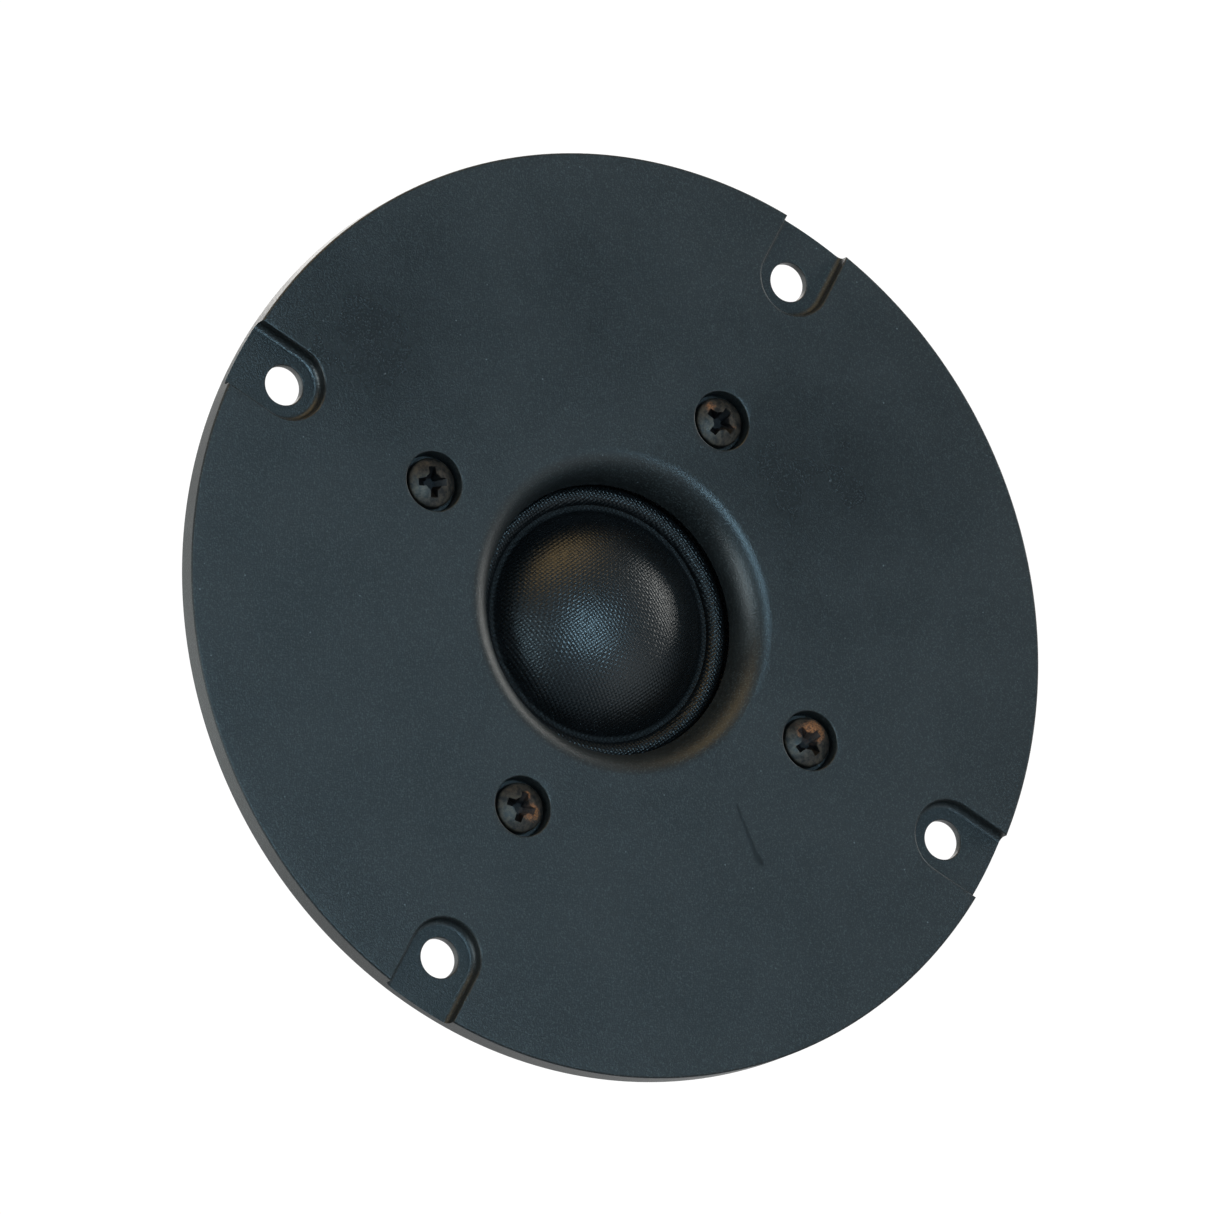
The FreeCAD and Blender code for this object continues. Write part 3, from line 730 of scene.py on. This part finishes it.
def plate_profile():
    """The plate's section: horn mouth, front face, rim, flange, gasket groove and boss."""
    section = [
        (PLATE_R, 0.0, EDGE_ROUND), (PLATE_R, FLANGE_T, 0.2),
        (GROOVE_R[1], FLANGE_T, 0.0), (GROOVE_R[1], GROOVE_FLOOR, 0.1),
        (GROOVE_R[0], GROOVE_FLOOR, 0.1), (GROOVE_R[0], FLANGE_T, 0.0),
        (BOSS_R, FLANGE_T, 0.5), (BOSS_R, SEAT_DEPTH, 0.3),
        (RECESS_R, SEAT_DEPTH, 0.2), (RECESS_R, RECESS_DEPTH, 0.0),
        (UNDERCUT_R, RECESS_DEPTH, 0.0), (UNDERCUT_R, UNDERCUT_DEPTH, 0.0),
        (THROAT_R + 0.25, THROAT_DEPTH + 0.3, 0.0)]
    outline = rounded(section)
    steps = 28
    for step in range(steps + 1):
        turn = math.pi / 2 * step / steps
        outline.append((LIP_R - (LIP_R - THROAT_R) * math.cos(turn),
                        THROAT_DEPTH - THROAT_DEPTH * math.sin(turn)))
    outline += [(radius, 0.0) for radius in (LIP_R + 0.15, LIP_R + 1.2, 22.0, 30.0, 40.0, 50.0)]
    return outline


def pocket_loop(offset, depth):
    """Outline of a pocket at one depth, in the plane, offset outwards from its nominal size."""
    reach = POCKET_R + offset
    loop = []
    for step in range(33):
        angle = math.pi / 2 + math.pi * step / 32
        loop.append((BAFFLE_RING_R + reach * math.cos(angle), reach * math.sin(angle)))
    loop += [(PLATE_R + 3.0, -reach), (PLATE_R + 3.0, reach)]
    return [Vector((across, FRONT_Y + depth, up)) * MM for across, up in loop]


def softened(soft, face, inward=1.0):
    """(growth, depth) points of an opening's rounded edge, from just outside its face inwards.

    The arc starts a little steeper than the face, so that no point of it lies in the face."""
    start = math.radians(12.0)
    above = 0.1
    turns = [start + (math.pi / 2 - start) * n / 4 for n in range(5)]
    arc = [(soft * (1 - math.sin(t)), face + inward * soft * (1 - math.cos(t))) for t in turns]
    reach = (above + soft * (1 - math.cos(start))) / math.tan(start)
    return [(arc[0][0] + reach, face - inward * above)] + arc


def pocket_cutter():
    """U-shaped pocket with a rounded foot and a softened top edge."""
    levels = softened(EDGE_ROUND, 0.0)
    foot = POCKET_FOOT
    levels += [(-foot * (1 - math.cos(t)), POCKET_DEPTH - foot + foot * math.sin(t))
               for t in (math.pi / 2 * n / 6 for n in range(7))]
    return stacked("pocket", [pocket_loop(*level) for level in levels])


def hole_cutter(radius, near, far, soft):
    """Round hole on the axis whose edges are rounded by soft at both ends."""
    front = softened(soft, near)
    back = softened(soft, far, -1.0)
    wall = [(radius + growth, depth) for growth, depth in front + back[::-1]]
    outline = [(0.0, front[0][1])] + wall + [(0.0, back[0][1])]
    return lathe("hole", outline, segments=64, closed=False)


def counterbore_cutter():
    """Counterbore with a soft edge, and the clearance hole behind it."""
    edge = softened(0.16, 0.0)
    outline = [(0.0, edge[0][1])] + [(BORE_R + growth, depth) for growth, depth in edge]
    outline += [(BORE_R, BORE_DEPTH - 0.15), (BORE_R - 0.15, BORE_DEPTH),
                (CLEARANCE_R, BORE_DEPTH), (CLEARANCE_R, SEAT_DEPTH + 0.5),
                (0.0, SEAT_DEPTH + 0.5)]
    return lathe("counterbore", outline, segments=96, closed=False)


def prism(name, points, width):
    """Solid from (radius, depth) points in the XY plane, as wide as asked along Z."""
    loops = [[Vector((x, FRONT_Y + depth, side * width / 2)) * MM for x, depth in points]
             for side in (-1, 1)]
    return stacked(name, loops)


def gusset():
    """One soft-edged rib from the boss to the flange, behind the plate."""
    inside = BOSS_R - 0.7
    buried = FLANGE_T - 0.8
    rib = prism("gusset", [(inside, buried), (GUSSET_R, buried), (GUSSET_R, FLANGE_T + 0.5),
                           (inside, GUSSET_DEPTH)], GUSSET_T)
    bevel = rib.modifiers.new("bevel", "BEVEL")
    bevel.width = 0.2 * MM
    bevel.segments = 3
    settle_modifiers(rib)
    return rib


def terminal_channel():
    """Slot through the boss for a terminal."""
    ends = (RECESS_R - 1.0, BOSS_R + 1.0)
    beyond = SEAT_DEPTH + 1.0
    return prism("channel", [(ends[0], CHANNEL_DEPTH), (ends[1], CHANNEL_DEPTH),
                             (ends[1], beyond), (ends[0], beyond)], CHANNEL_WIDTH)


def faceplate():
    """The turned plate with its gussets, then cut for channels, pockets, counterbores and holes."""
    plate = lathe("faceplate_shell", plate_profile(), segments=288)
    step = 360.0 / GUSSET_COUNT
    gussets = [spun(gusset(), step * (number + 0.5)) for number in range(GUSSET_COUNT)]
    boolean(plate, joined("gussets", gussets), "UNION")
    first = [spun(terminal_channel(), degrees) for degrees in (0.0, 180.0)]
    first += [spun(pocket_cutter(), degrees) for degrees in DIAGONALS]
    first += [spun(counterbore_cutter(), degrees, SCREW_RING_R) for degrees in DIAGONALS]
    boolean(plate, joined("first_cut", first))
    holes = [spun(hole_cutter(BAFFLE_HOLE_R, POCKET_DEPTH, FLANGE_T, 0.15), degrees, BAFFLE_RING_R)
             for degrees in DIAGONALS]
    boolean(plate, joined("second_cut", holes))
    close_tears(plate)
    finish_piece(plate, PLATE, "chassis", "faceplate", "faceplate", angle=30.0)


# ---- Dome and surround: one sheet of cloth ----

def cloth_line():
    """Upper face of the cloth from crown to rim, as (radius, depth) points."""
    edge = DOME_SKIRT - 0.4
    sphere = (DOME_R ** 2 + (edge - CROWN) ** 2) / (2 * (edge - CROWN))
    line = []
    steps = 56
    for step in range(steps):
        radius = (DOME_R - 0.25) * step / (steps - 1)
        line.append((radius, CROWN + sphere - math.sqrt(sphere ** 2 - radius ** 2)))
    line += VALLEY
    top = CLOTH_UNDER - CLOTH_T
    bend = (ROLL_HALF ** 2 + ROLL_RISE ** 2) / (2 * ROLL_RISE)
    spread = math.asin(ROLL_HALF / bend)
    for step in range(25):
        turn = spread * (-0.93 + 1.93 * step / 24)
        line.append((ROLL_R + bend * math.sin(turn),
                     top - ROLL_RISE + bend * (1 - math.cos(turn))))
    line += [(16.2, top), (17.5, top), (CLOTH_R, top)]
    return line


def dome_and_surround():
    upper = cloth_line()
    under = [(max(radius - 0.02, 0.0), depth + CLOTH_T) for radius, depth in upper]
    cloth = lathe("dome_and_surround", upper + under[::-1], segments=288, closed=False)
    tidy_surface(cloth, 60.0)
    for material in (CLOTH, ROLL_CLOTH, VALLEY_CLOTH):
        cloth.data.materials.append(material)
    for face in cloth.data.polygons:
        radius = math.hypot(face.center.x, face.center.z) / MM
        if radius > GLUED_R:
            face.material_index = 1
        elif radius > DOME_R:
            face.material_index = 2
    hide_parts("dome", "surround")
    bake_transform(cloth)
    for vertex in cloth.data.vertices:
        radius = math.hypot(vertex.co.x, vertex.co.z) / MM


# ---- Motor screws ----

SCREW_LENGTH = 10.0
# Rust spots of each head: (right, up, radius) from its centre.
RUST = (((-0.75, 1.9, 0.30), (1.4, -0.9, 0.0)), (), ((0.9, -0.8, 0.85), (0.9, 1.1, 0.25)),
        ((0.9, 0.9, 1.15), (-0.4, 1.2, 0.55)))


def cross_loop(span_half, arm_half, core, depth):
    """Outline of the cross recess: four arms, and corners cut back to the core's radius."""
    quarter = [(span_half, -arm_half), (span_half, arm_half), (core, arm_half * 1.05),
               (core * 0.78, core * 0.78), (arm_half * 1.05, core)]
    loop = []
    for turn in range(4):
        swing = Matrix.Rotation(math.pi / 2 * turn, 2)
        for point in quarter:
            flat = swing @ Vector(point)
            loop.append(Vector((flat.x, FRONT_Y + depth, flat.y)) * MM)
    return loop


def pan_head_screw():
    """Screw on the axis: domed head with a tapered cross recess, and a plain shank."""
    sag = HEAD_RIM - HEAD_TOP
    dome_radius = (HEAD_R ** 2 + sag ** 2) / (2 * sag)
    outline = []
    for step in range(18):
        radius = (HEAD_R - 0.12) * step / 17
        outline.append((radius, HEAD_TOP + dome_radius - math.sqrt(dome_radius ** 2 - radius ** 2)))
    tip = BORE_DEPTH + SCREW_LENGTH
    outline += [(HEAD_R - 0.03, HEAD_RIM + 0.03), (HEAD_R, HEAD_RIM + 0.14),
                (HEAD_R, BORE_DEPTH - 0.05), (HEAD_R - 0.05, BORE_DEPTH), (SHANK_R, BORE_DEPTH),
                (SHANK_R, tip - 0.5), (1.0, tip), (0.0, tip)]
    screw = lathe("screw", outline, segments=96, closed=False)
    loops = [cross_loop(2.02, 0.50, 1.02, HEAD_TOP - 0.3), cross_loop(1.86, 0.43, 0.92, 0.22),
             cross_loop(1.40, 0.38, 0.74, 0.85), cross_loop(0.62, 0.30, 0.45, 1.45)]
    boolean(screw, stacked("recess", loops))
    return screw


def faceplate_screws():
    """Four copies of one screw, each with its own turn of the recess and its own rust."""
    model = pan_head_screw()
    for letter, degrees, turn, spots in zip("abcd", DIAGONALS, RECESS_TURNS, RUST):
        screw = copy_of(model, "faceplate_screw_" + letter)
        spun(screw, degrees, SCREW_RING_R, turn - degrees)
        centre = place(SCREW_RING_R, degrees, 0.0)
        steel = screw_steel("screw_steel_" + letter, centre, spots)
        finish_piece(screw, steel, "chassis", "screw_steel", "faceplate_screws", angle=32.0)
    bpy.data.objects.remove(model)


# ---- Motor ----

def chipped(outer, near, far, seed):
    """Shape function that nibbles the outer edges of a brittle ring."""
    band = 1.6
    source = random.Random(seed)
    chips = [(source.uniform(0, 360), source.choice((near, far)), source.uniform(1.2, 3.6),
              source.uniform(0.25, 0.75)) for _ in range(16)]

    def shape(radius, degrees, depth):
        if radius < outer - band:
            return radius, depth
        for centre, level, width, bite in chips:
            gap = abs((degrees - centre + 180) % 360 - 180)
            rise = abs(depth - level)
            if gap < width and rise < band:
                radius -= bite * (math.cos(gap / width * math.pi / 2) * (1 - rise / band))
        return radius, depth

    return shape


def magnet():
    """Ferrite ring with chipped outer edges."""
    section = rounded([(MAGNET_BORE_R, MAGNET_NEAR, 0.3), (MAGNET_R, MAGNET_NEAR, 0.7),
                       (MAGNET_R, MAGNET_FAR, 0.7), (MAGNET_BORE_R, MAGNET_FAR, 0.3)], steps=6)
    outline = divided(section, MAGNET_R, 8)
    ring = lathe("magnet_ring", outline, segments=360,
                 shape=chipped(MAGNET_R, MAGNET_NEAR, MAGNET_FAR, 4))
    finish_piece(ring, FERRITE, "chassis", "ferrite", "magnet", angle=50.0)


def steel_plates():
    """The two rings that hold the magnet. The front one is drilled for the screws."""
    top = plain_ring("front_pole_plate", (GAP_R, TOP_R), (TOP_NEAR, TOP_FAR),
                     (0.2, 0.35, 0.35, 0.2))
    drills = [spun(hole_cutter(SHANK_R, TOP_NEAR, TOP_FAR, 0.2), degrees, SCREW_RING_R)
              for degrees in DIAGONALS]
    boolean(top, joined("drills", drills))
    finish_piece(top, STEEL, "chassis", "zinc_steel", "top_plate", angle=40.0)
    back = plain_ring("rear_pole_plate", (BACK_BORE_R, BACK_R), (BACK_NEAR, BACK_FAR),
                      (0.2, 0.8, 0.8, 0.2))
    finish_piece(back, STEEL, "chassis", "zinc_steel", "back_plate", angle=40.0)


CUP_R = 24.0
CUP_WALL = 1.8
CUP_FLANGE_T = 2.4
RIB_COUNT = 24
RIB_HALF = 0.85
CUP_SCREW_RING_R = 27.2
CUP_DRILL_R = 1.45


def rear_chamber():
    """Cup with rounded grip ribs, a moulded ring on its floor and a screwed flange."""
    shoulder = CUP_NEAR + CUP_FLANGE_T
    section = [(0.0, CUP_FAR - CUP_WALL, 0.0), (CUP_R - CUP_WALL, CUP_FAR - CUP_WALL, 1.2),
               (CUP_R - CUP_WALL, CUP_NEAR, 0.2), (CUP_FLANGE_R, CUP_NEAR, 0.3),
               (CUP_FLANGE_R, shoulder, 0.6), (CUP_R, shoulder, 0.5),
               (CUP_R, shoulder + 1.0, 0.0), (CUP_R, CUP_FAR - 3.8, 0.0), (CUP_R, CUP_FAR, 3.0),
               (16.0, CUP_FAR, 0.2), (15.4, CUP_FAR - 0.5, 0.2), (0.0, CUP_FAR - 0.5, 0.0)]
    dense = divided(rounded(section, steps=6), CUP_R, 4)

    def ribs(radius, degrees, depth):
        if abs(radius - CUP_R) > 0.02 or not shoulder + 0.6 < depth < CUP_FAR - 3.3:
            return radius, depth
        pitch = 360.0 / RIB_COUNT
        gap = abs((degrees % pitch) - pitch / 2) * math.pi / 180 * CUP_R
        rise = math.sqrt(max(RIB_HALF ** 2 - gap ** 2, 0.0)) - 0.3
        return radius + max(rise, 0.0), depth

    cup = lathe("rear_chamber_cup", dense, segments=RIB_COUNT * 24, closed=False, shape=ribs)
    drills = [spun(hole_cutter(CUP_DRILL_R, CUP_NEAR, shoulder, 0.2), degrees, CUP_SCREW_RING_R)
              for degrees in DIAGONALS]
    boolean(cup, joined("cup_drills", drills))
    finish_piece(cup, CHAMBER, "chassis", "chamber_plastic", "rear_chamber", angle=40.0)
    seal = plain_ring("chamber_gasket", (CUP_R - CUP_WALL, SEAL_R), (SEAL_NEAR, SEAL_FAR),
                      (0.1, 0.25, 0.25, 0.1), 192)
    finish_piece(seal, RUBBER, "chassis", "seal_rubber", "chamber_seal")


def chamber_screws():
    """Button heads with a hexagon socket."""
    head = 1.7
    flat = 1.3
    top = CUP_NEAR + CUP_FLANGE_T + head
    under = top - head
    outline = [(0.0, top), (flat, top)]
    outline += [(flat + math.sin(t), top - 0.95 * (1 - math.cos(t)))
                for t in (math.pi / 2 * n / 8 for n in range(1, 9))]
    outline += [(2.3, under + 0.1), (2.2, under), (1.25, under), (1.25, under - 5.8),
                (1.05, under - 6.0), (0.0, under - 6.0)]
    model = lathe("button_screw", outline, segments=72, closed=False)
    loops = []
    for radius, depth in ((0.98, top + 0.2), (0.90, top - 0.06), (0.87, top - 0.15),
                          (0.87, top - 1.0)):
        loops.append([place(radius, 60.0 * n, depth) for n in range(6)])
    boolean(model, stacked("socket", loops))
    screws = []
    for degrees in DIAGONALS:
        screws.append(spun(copy_of(model, "copy"), degrees, CUP_SCREW_RING_R, degrees * 1.7))
    bpy.data.objects.remove(model)
    steel = screw_steel("chamber_screw_steel", place(0, 0, 0), [])
    finish_piece(joined("chamber_screw_set", screws), steel, "chassis", "screw_steel",
                 "chamber_screws", angle=32.0)


def flange_gasket():
    gasket = plain_ring("flange_gasket_ring", (GROOVE_R[0] + 0.1, GASKET_R),
                        (GROOVE_FLOOR, FLANGE_T), (0.1, 0.1, 0.3, 0.3))
    finish_piece(gasket, FOAM, "chassis", "gasket_foam", "flange_gasket")


def coil_winding():
    """Two layers of round wire: each turn is its own bulge on the outside."""
    turns = 22
    pitch = (COIL_FAR - COIL_NEAR) / turns
    wire = 0.06
    outline = [(FORMER_R, COIL_FAR), (FORMER_R, COIL_NEAR)]
    for turn in range(turns):
        for step in range(4):
            angle = math.pi * (step + 0.5) / 4
            outline.append((COIL_R - wire + wire * math.sin(angle),
                            COIL_NEAR + pitch * (turn + 0.5 - 0.5 * math.cos(angle))))
    winding = lathe("coil_turns", outline, segments=128)
    finish_piece(winding, COPPER, "diaphragm", "copper", "voice_coil_winding", angle=80.0)


def lumpy(amount, size, seed):
    """Shape function that makes a soft piece uneven."""
    source = random.Random(seed)
    waves = [(source.randint(2, 9), source.uniform(0.3, 1.6) / size, source.uniform(0, 6.3))
             for _ in range(9)]

    def shape(radius, degrees, depth):
        angle = math.radians(degrees)
        total = sum(math.sin(turns * angle + radius * stretch * 3 + phase)
                    * math.cos(depth * stretch * 4 + phase)
                    for turns, stretch, phase in waves) / len(waves)
        fade = min(radius / 4.0, 1.0)
        return radius - amount * (0.5 + total) * fade * 0.6, depth + amount * total * fade * 0.5

    return shape


def soft_fillings():
    """The wadding in the chamber and the felt ring on the pole's tip."""
    near, far = WOOL_NEAR + 0.6, WOOL_FAR - 0.6
    outline = [(2.0 * n, near) for n in range(10)]
    outline += [(19.4, near + 0.5), (20.0, near + 2.0), (20.2, near + 4.2), (20.0, far - 2.0),
                (19.4, far - 0.5)]
    outline += [(2.0 * n, far) for n in range(9, -1, -1)]
    wool = lathe("chamber_wadding", outline, segments=120, closed=False, shape=lumpy(1.0, 6.0, 11))
    finish_piece(wool, WADDING, "chassis", "wadding", "chamber_wool", angle=180.0)
    pad = plain_ring("pole_felt_ring", (FELT_BORE_R, FELT_R), (FELT_NEAR, FELT_FAR),
                     (0.25, 0.35, 0.05, 0.05), 128)
    finish_piece(pad, FELT, "chassis", "felt", "pole_felt", angle=60.0)


def bevelled_copy(node, name, material, body, slot, width):
    """A CAD node's own shape, cleaned of its mesh diagonals and given soft edges."""
    piece = copy_of(frame["nodes"][node], name)
    mesh = bmesh.new()
    mesh.from_mesh(piece.data)
    bmesh.ops.remove_doubles(mesh, verts=mesh.verts, dist=1e-6)
    bmesh.ops.dissolve_limit(mesh, angle_limit=math.radians(1.0), verts=mesh.verts,
                             edges=mesh.edges)
    mesh.to_mesh(piece.data)
    mesh.free()
    bevel = piece.modifiers.new("bevel", "BEVEL")
    bevel.width = width * MM
    bevel.segments = 3
    bevel.limit_method = "ANGLE"
    bevel.angle_limit = math.radians(40)
    settle_modifiers(piece)
    return finish_piece(piece, material, body, slot, node, angle=40.0)


def carrier_and_terminals():
    bevelled_copy("diaphragm_carrier", "carrier_ring", CARRIER, "chassis", "carrier_plastic", 0.15)
    bevelled_copy("terminal_positive", "blade_positive", TIN, "chassis", "terminal_tin", 0.1)
    bevelled_copy("terminal_negative", "blade_negative", TIN, "chassis", "terminal_tin", 0.1)
    bevelled_copy("terminal_rivets", "rivet_pair", TIN, "chassis", "terminal_tin", 0.12)


def inner_motor_parts():
    bevelled_copy("pole_piece", "centre_pole", STEEL, "chassis", "zinc_steel", 0.25)
    bevelled_copy("copper_cap", "pole_sleeve", COPPER, "chassis", "copper", 0.08)
    bevelled_copy("locating_pins", "dowel_pair", STEEL, "chassis", "zinc_steel", 0.2)
    plug = bevelled_copy("vent_felt_plug", "vent_plug", FELT, "chassis", "felt", 0.4)
    bevelled_copy("voice_coil_former", "coil_tube", FOIL, "diaphragm", "coil_former", 0.02)


def glue_bead():
    """Ring of glue in the corner between the cloth and the former."""
    former, lip, _ = span("voice_coil_former")
    outer, near, far = span("coil_adhesive")
    outline = rounded([(DOME_R, near, 0.02), (outer, near, 0.05), (outer, near + 0.3, 0.06),
                       (former, far, 0.01), (former, lip, 0.01), (DOME_R, lip, 0.01)])
    bead = lathe("glue_bead", outline, segments=192)
    finish_piece(bead, GLUE, "diaphragm", "glue", "coil_adhesive", angle=60.0)


def dress_cad_nodes():
    """Materials for the CAD nodes whose own shape is shown."""
    finishes = {"lead_wire_positive": COPPER, "lead_wire_negative": COPPER,
                "solder_joints": SOLDER}
    for name, material in finishes.items():
        node = frame["nodes"][name]
        node.data.materials.clear()
        node.data.materials.append(material)


for build in (faceplate, dome_and_surround, faceplate_screws, magnet, steel_plates, rear_chamber,
              chamber_screws, flange_gasket, coil_winding, soft_fillings, carrier_and_terminals,
              inner_motor_parts, glue_bead, dress_cad_nodes):
    build()


# ---- Floor, light and world ----

FLOOR_Z = -1.2
FLOOR_R = 6.6
# Room light by direction: the Y part of the direction, then the colour.
ROOM = ((-1.0, (0.28, 0.37, 0.43)), (-0.70, (0.26, 0.34, 0.39)), (-0.25, (0.13, 0.17, 0.19)),
        (0.15, (0.15, 0.17, 0.18)), (0.60, (0.9, 0.92, 0.92)))
# Name, direction, distance, width, height, watts, colour.
LAMPS = (
    ("key", (-0.03, -1.0, -0.02), 1.50, 0.46, 0.46, 10.5, (0.46, 0.78, 1.0)),
    ("right", (0.98, -0.13, 0.14), 1.30, 0.28, 1.00, 6.0, (1.0, 1.0, 0.96)),
    ("ceiling", (-0.05, -0.44, 0.90), 1.30, 1.50, 0.55, 5.0, (1.0, 0.66, 0.24)),
    ("left", (-0.84, -0.53, 0.02), 1.40, 0.35, 0.50, 3.4, (0.55, 0.84, 1.0)),
    ("horn", (-0.95, -0.26, 0.08), 1.40, 0.40, 0.90, 7.0, (0.85, 0.97, 1.0)),
    ("low", (0.40, -0.68, -0.60), 1.20, 1.20, 0.90, 1.6, (0.92, 0.98, 1.0)),
    ("rim", (-0.50, 0.85, 0.10), 1.30, 0.80, 1.20, 2.2, (0.90, 1.0, 1.0)),
    ("back", (0.30, 0.70, 0.65), 1.30, 0.80, 0.80, 5.0, (1.0, 0.95, 0.9)),
)


def pale_floor():
    """Pale disc well below. It is left out of reflections, so it adds no glare from underneath."""
    mesh = bmesh.new()
    bmesh.ops.create_circle(mesh, cap_ends=True, segments=96, radius=FLOOR_R)
    floor = new_object("floor", mesh)
    floor.location.z = FLOOR_Z
    floor.visible_glossy = False
    floor.visible_diffuse = False
    paint = bpy.data.materials.new("floor_paint")
    paint.use_nodes = True
    shader = paint.node_tree.nodes["Principled BSDF"]
    shader.inputs["Base Color"].default_value = (0.35, 0.35, 0.35, 1)
    shader.inputs["Roughness"].default_value = 0.7
    shader.inputs["Emission Color"].default_value = (1.0, 1.0, 1.0, 1)
    shader.inputs["Emission Strength"].default_value = 0.75
    floor.data.materials.append(paint)


def soft_light(name, toward, distance, width, height, power, colour):
    """Area light that shines at the tweeter from a direction. The camera doesn't see it."""
    data = bpy.data.lights.new(name, "AREA")
    data.shape = "ELLIPSE"
    data.size = width
    data.size_y = height
    data.energy = power
    data.color = colour
    lamp = linked(name, data)
    lamp.location = Vector(toward).normalized() * distance
    lamp.rotation_mode = "QUATERNION"
    lamp.rotation_quaternion = Vector(toward).to_track_quat("Z", "Y")
    lamp.visible_camera = False


def white_room():
    """Bright behind the tweeter and dimmer on the camera's side; plain white to the camera."""
    world = bpy.data.worlds.new("white_room")
    bpy.context.scene.world = world
    world.use_nodes = True
    tree = world.node_tree
    tree.nodes.clear()
    link = tree.links.new

    def node(kind):
        return tree.nodes.new("ShaderNode" + kind)

    coordinates = node("TexCoord")
    split = node("SeparateXYZ")
    link(coordinates.outputs["Generated"], split.inputs[0])
    forward = node("Math")
    forward.operation = "MULTIPLY_ADD"
    forward.inputs[1].default_value = 0.5
    forward.inputs[2].default_value = 0.5
    link(split.outputs["Y"], forward.inputs[0])
    shades = node("ValToRGB")
    stops = shades.color_ramp.elements
    while len(stops) < len(ROOM):
        stops.new(0.5)
    for stop, (toward_back, colour) in zip(stops, ROOM):
        stop.position = (toward_back + 1) / 2
        stop.color = (*colour, 1)
    link(forward.outputs[0], shades.inputs["Fac"])
    lighting = node("Background")
    link(shades.outputs["Color"], lighting.inputs["Color"])
    backdrop = node("Background")
    backdrop.inputs["Color"].default_value = (1.0, 1.0, 1.0, 1)
    backdrop.inputs["Strength"].default_value = 1.05
    rays = node("LightPath")
    choice = node("MixShader")
    link(rays.outputs["Is Camera Ray"], choice.inputs["Fac"])
    link(lighting.outputs[0], choice.inputs[1])
    link(backdrop.outputs[0], choice.inputs[2])
    output = node("OutputWorld")
    link(choice.outputs[0], output.inputs["Surface"])


pale_floor()
white_room()
for lamp_row in LAMPS:
    soft_light(*lamp_row)
bpy.context.scene.view_settings.view_transform = "Standard"
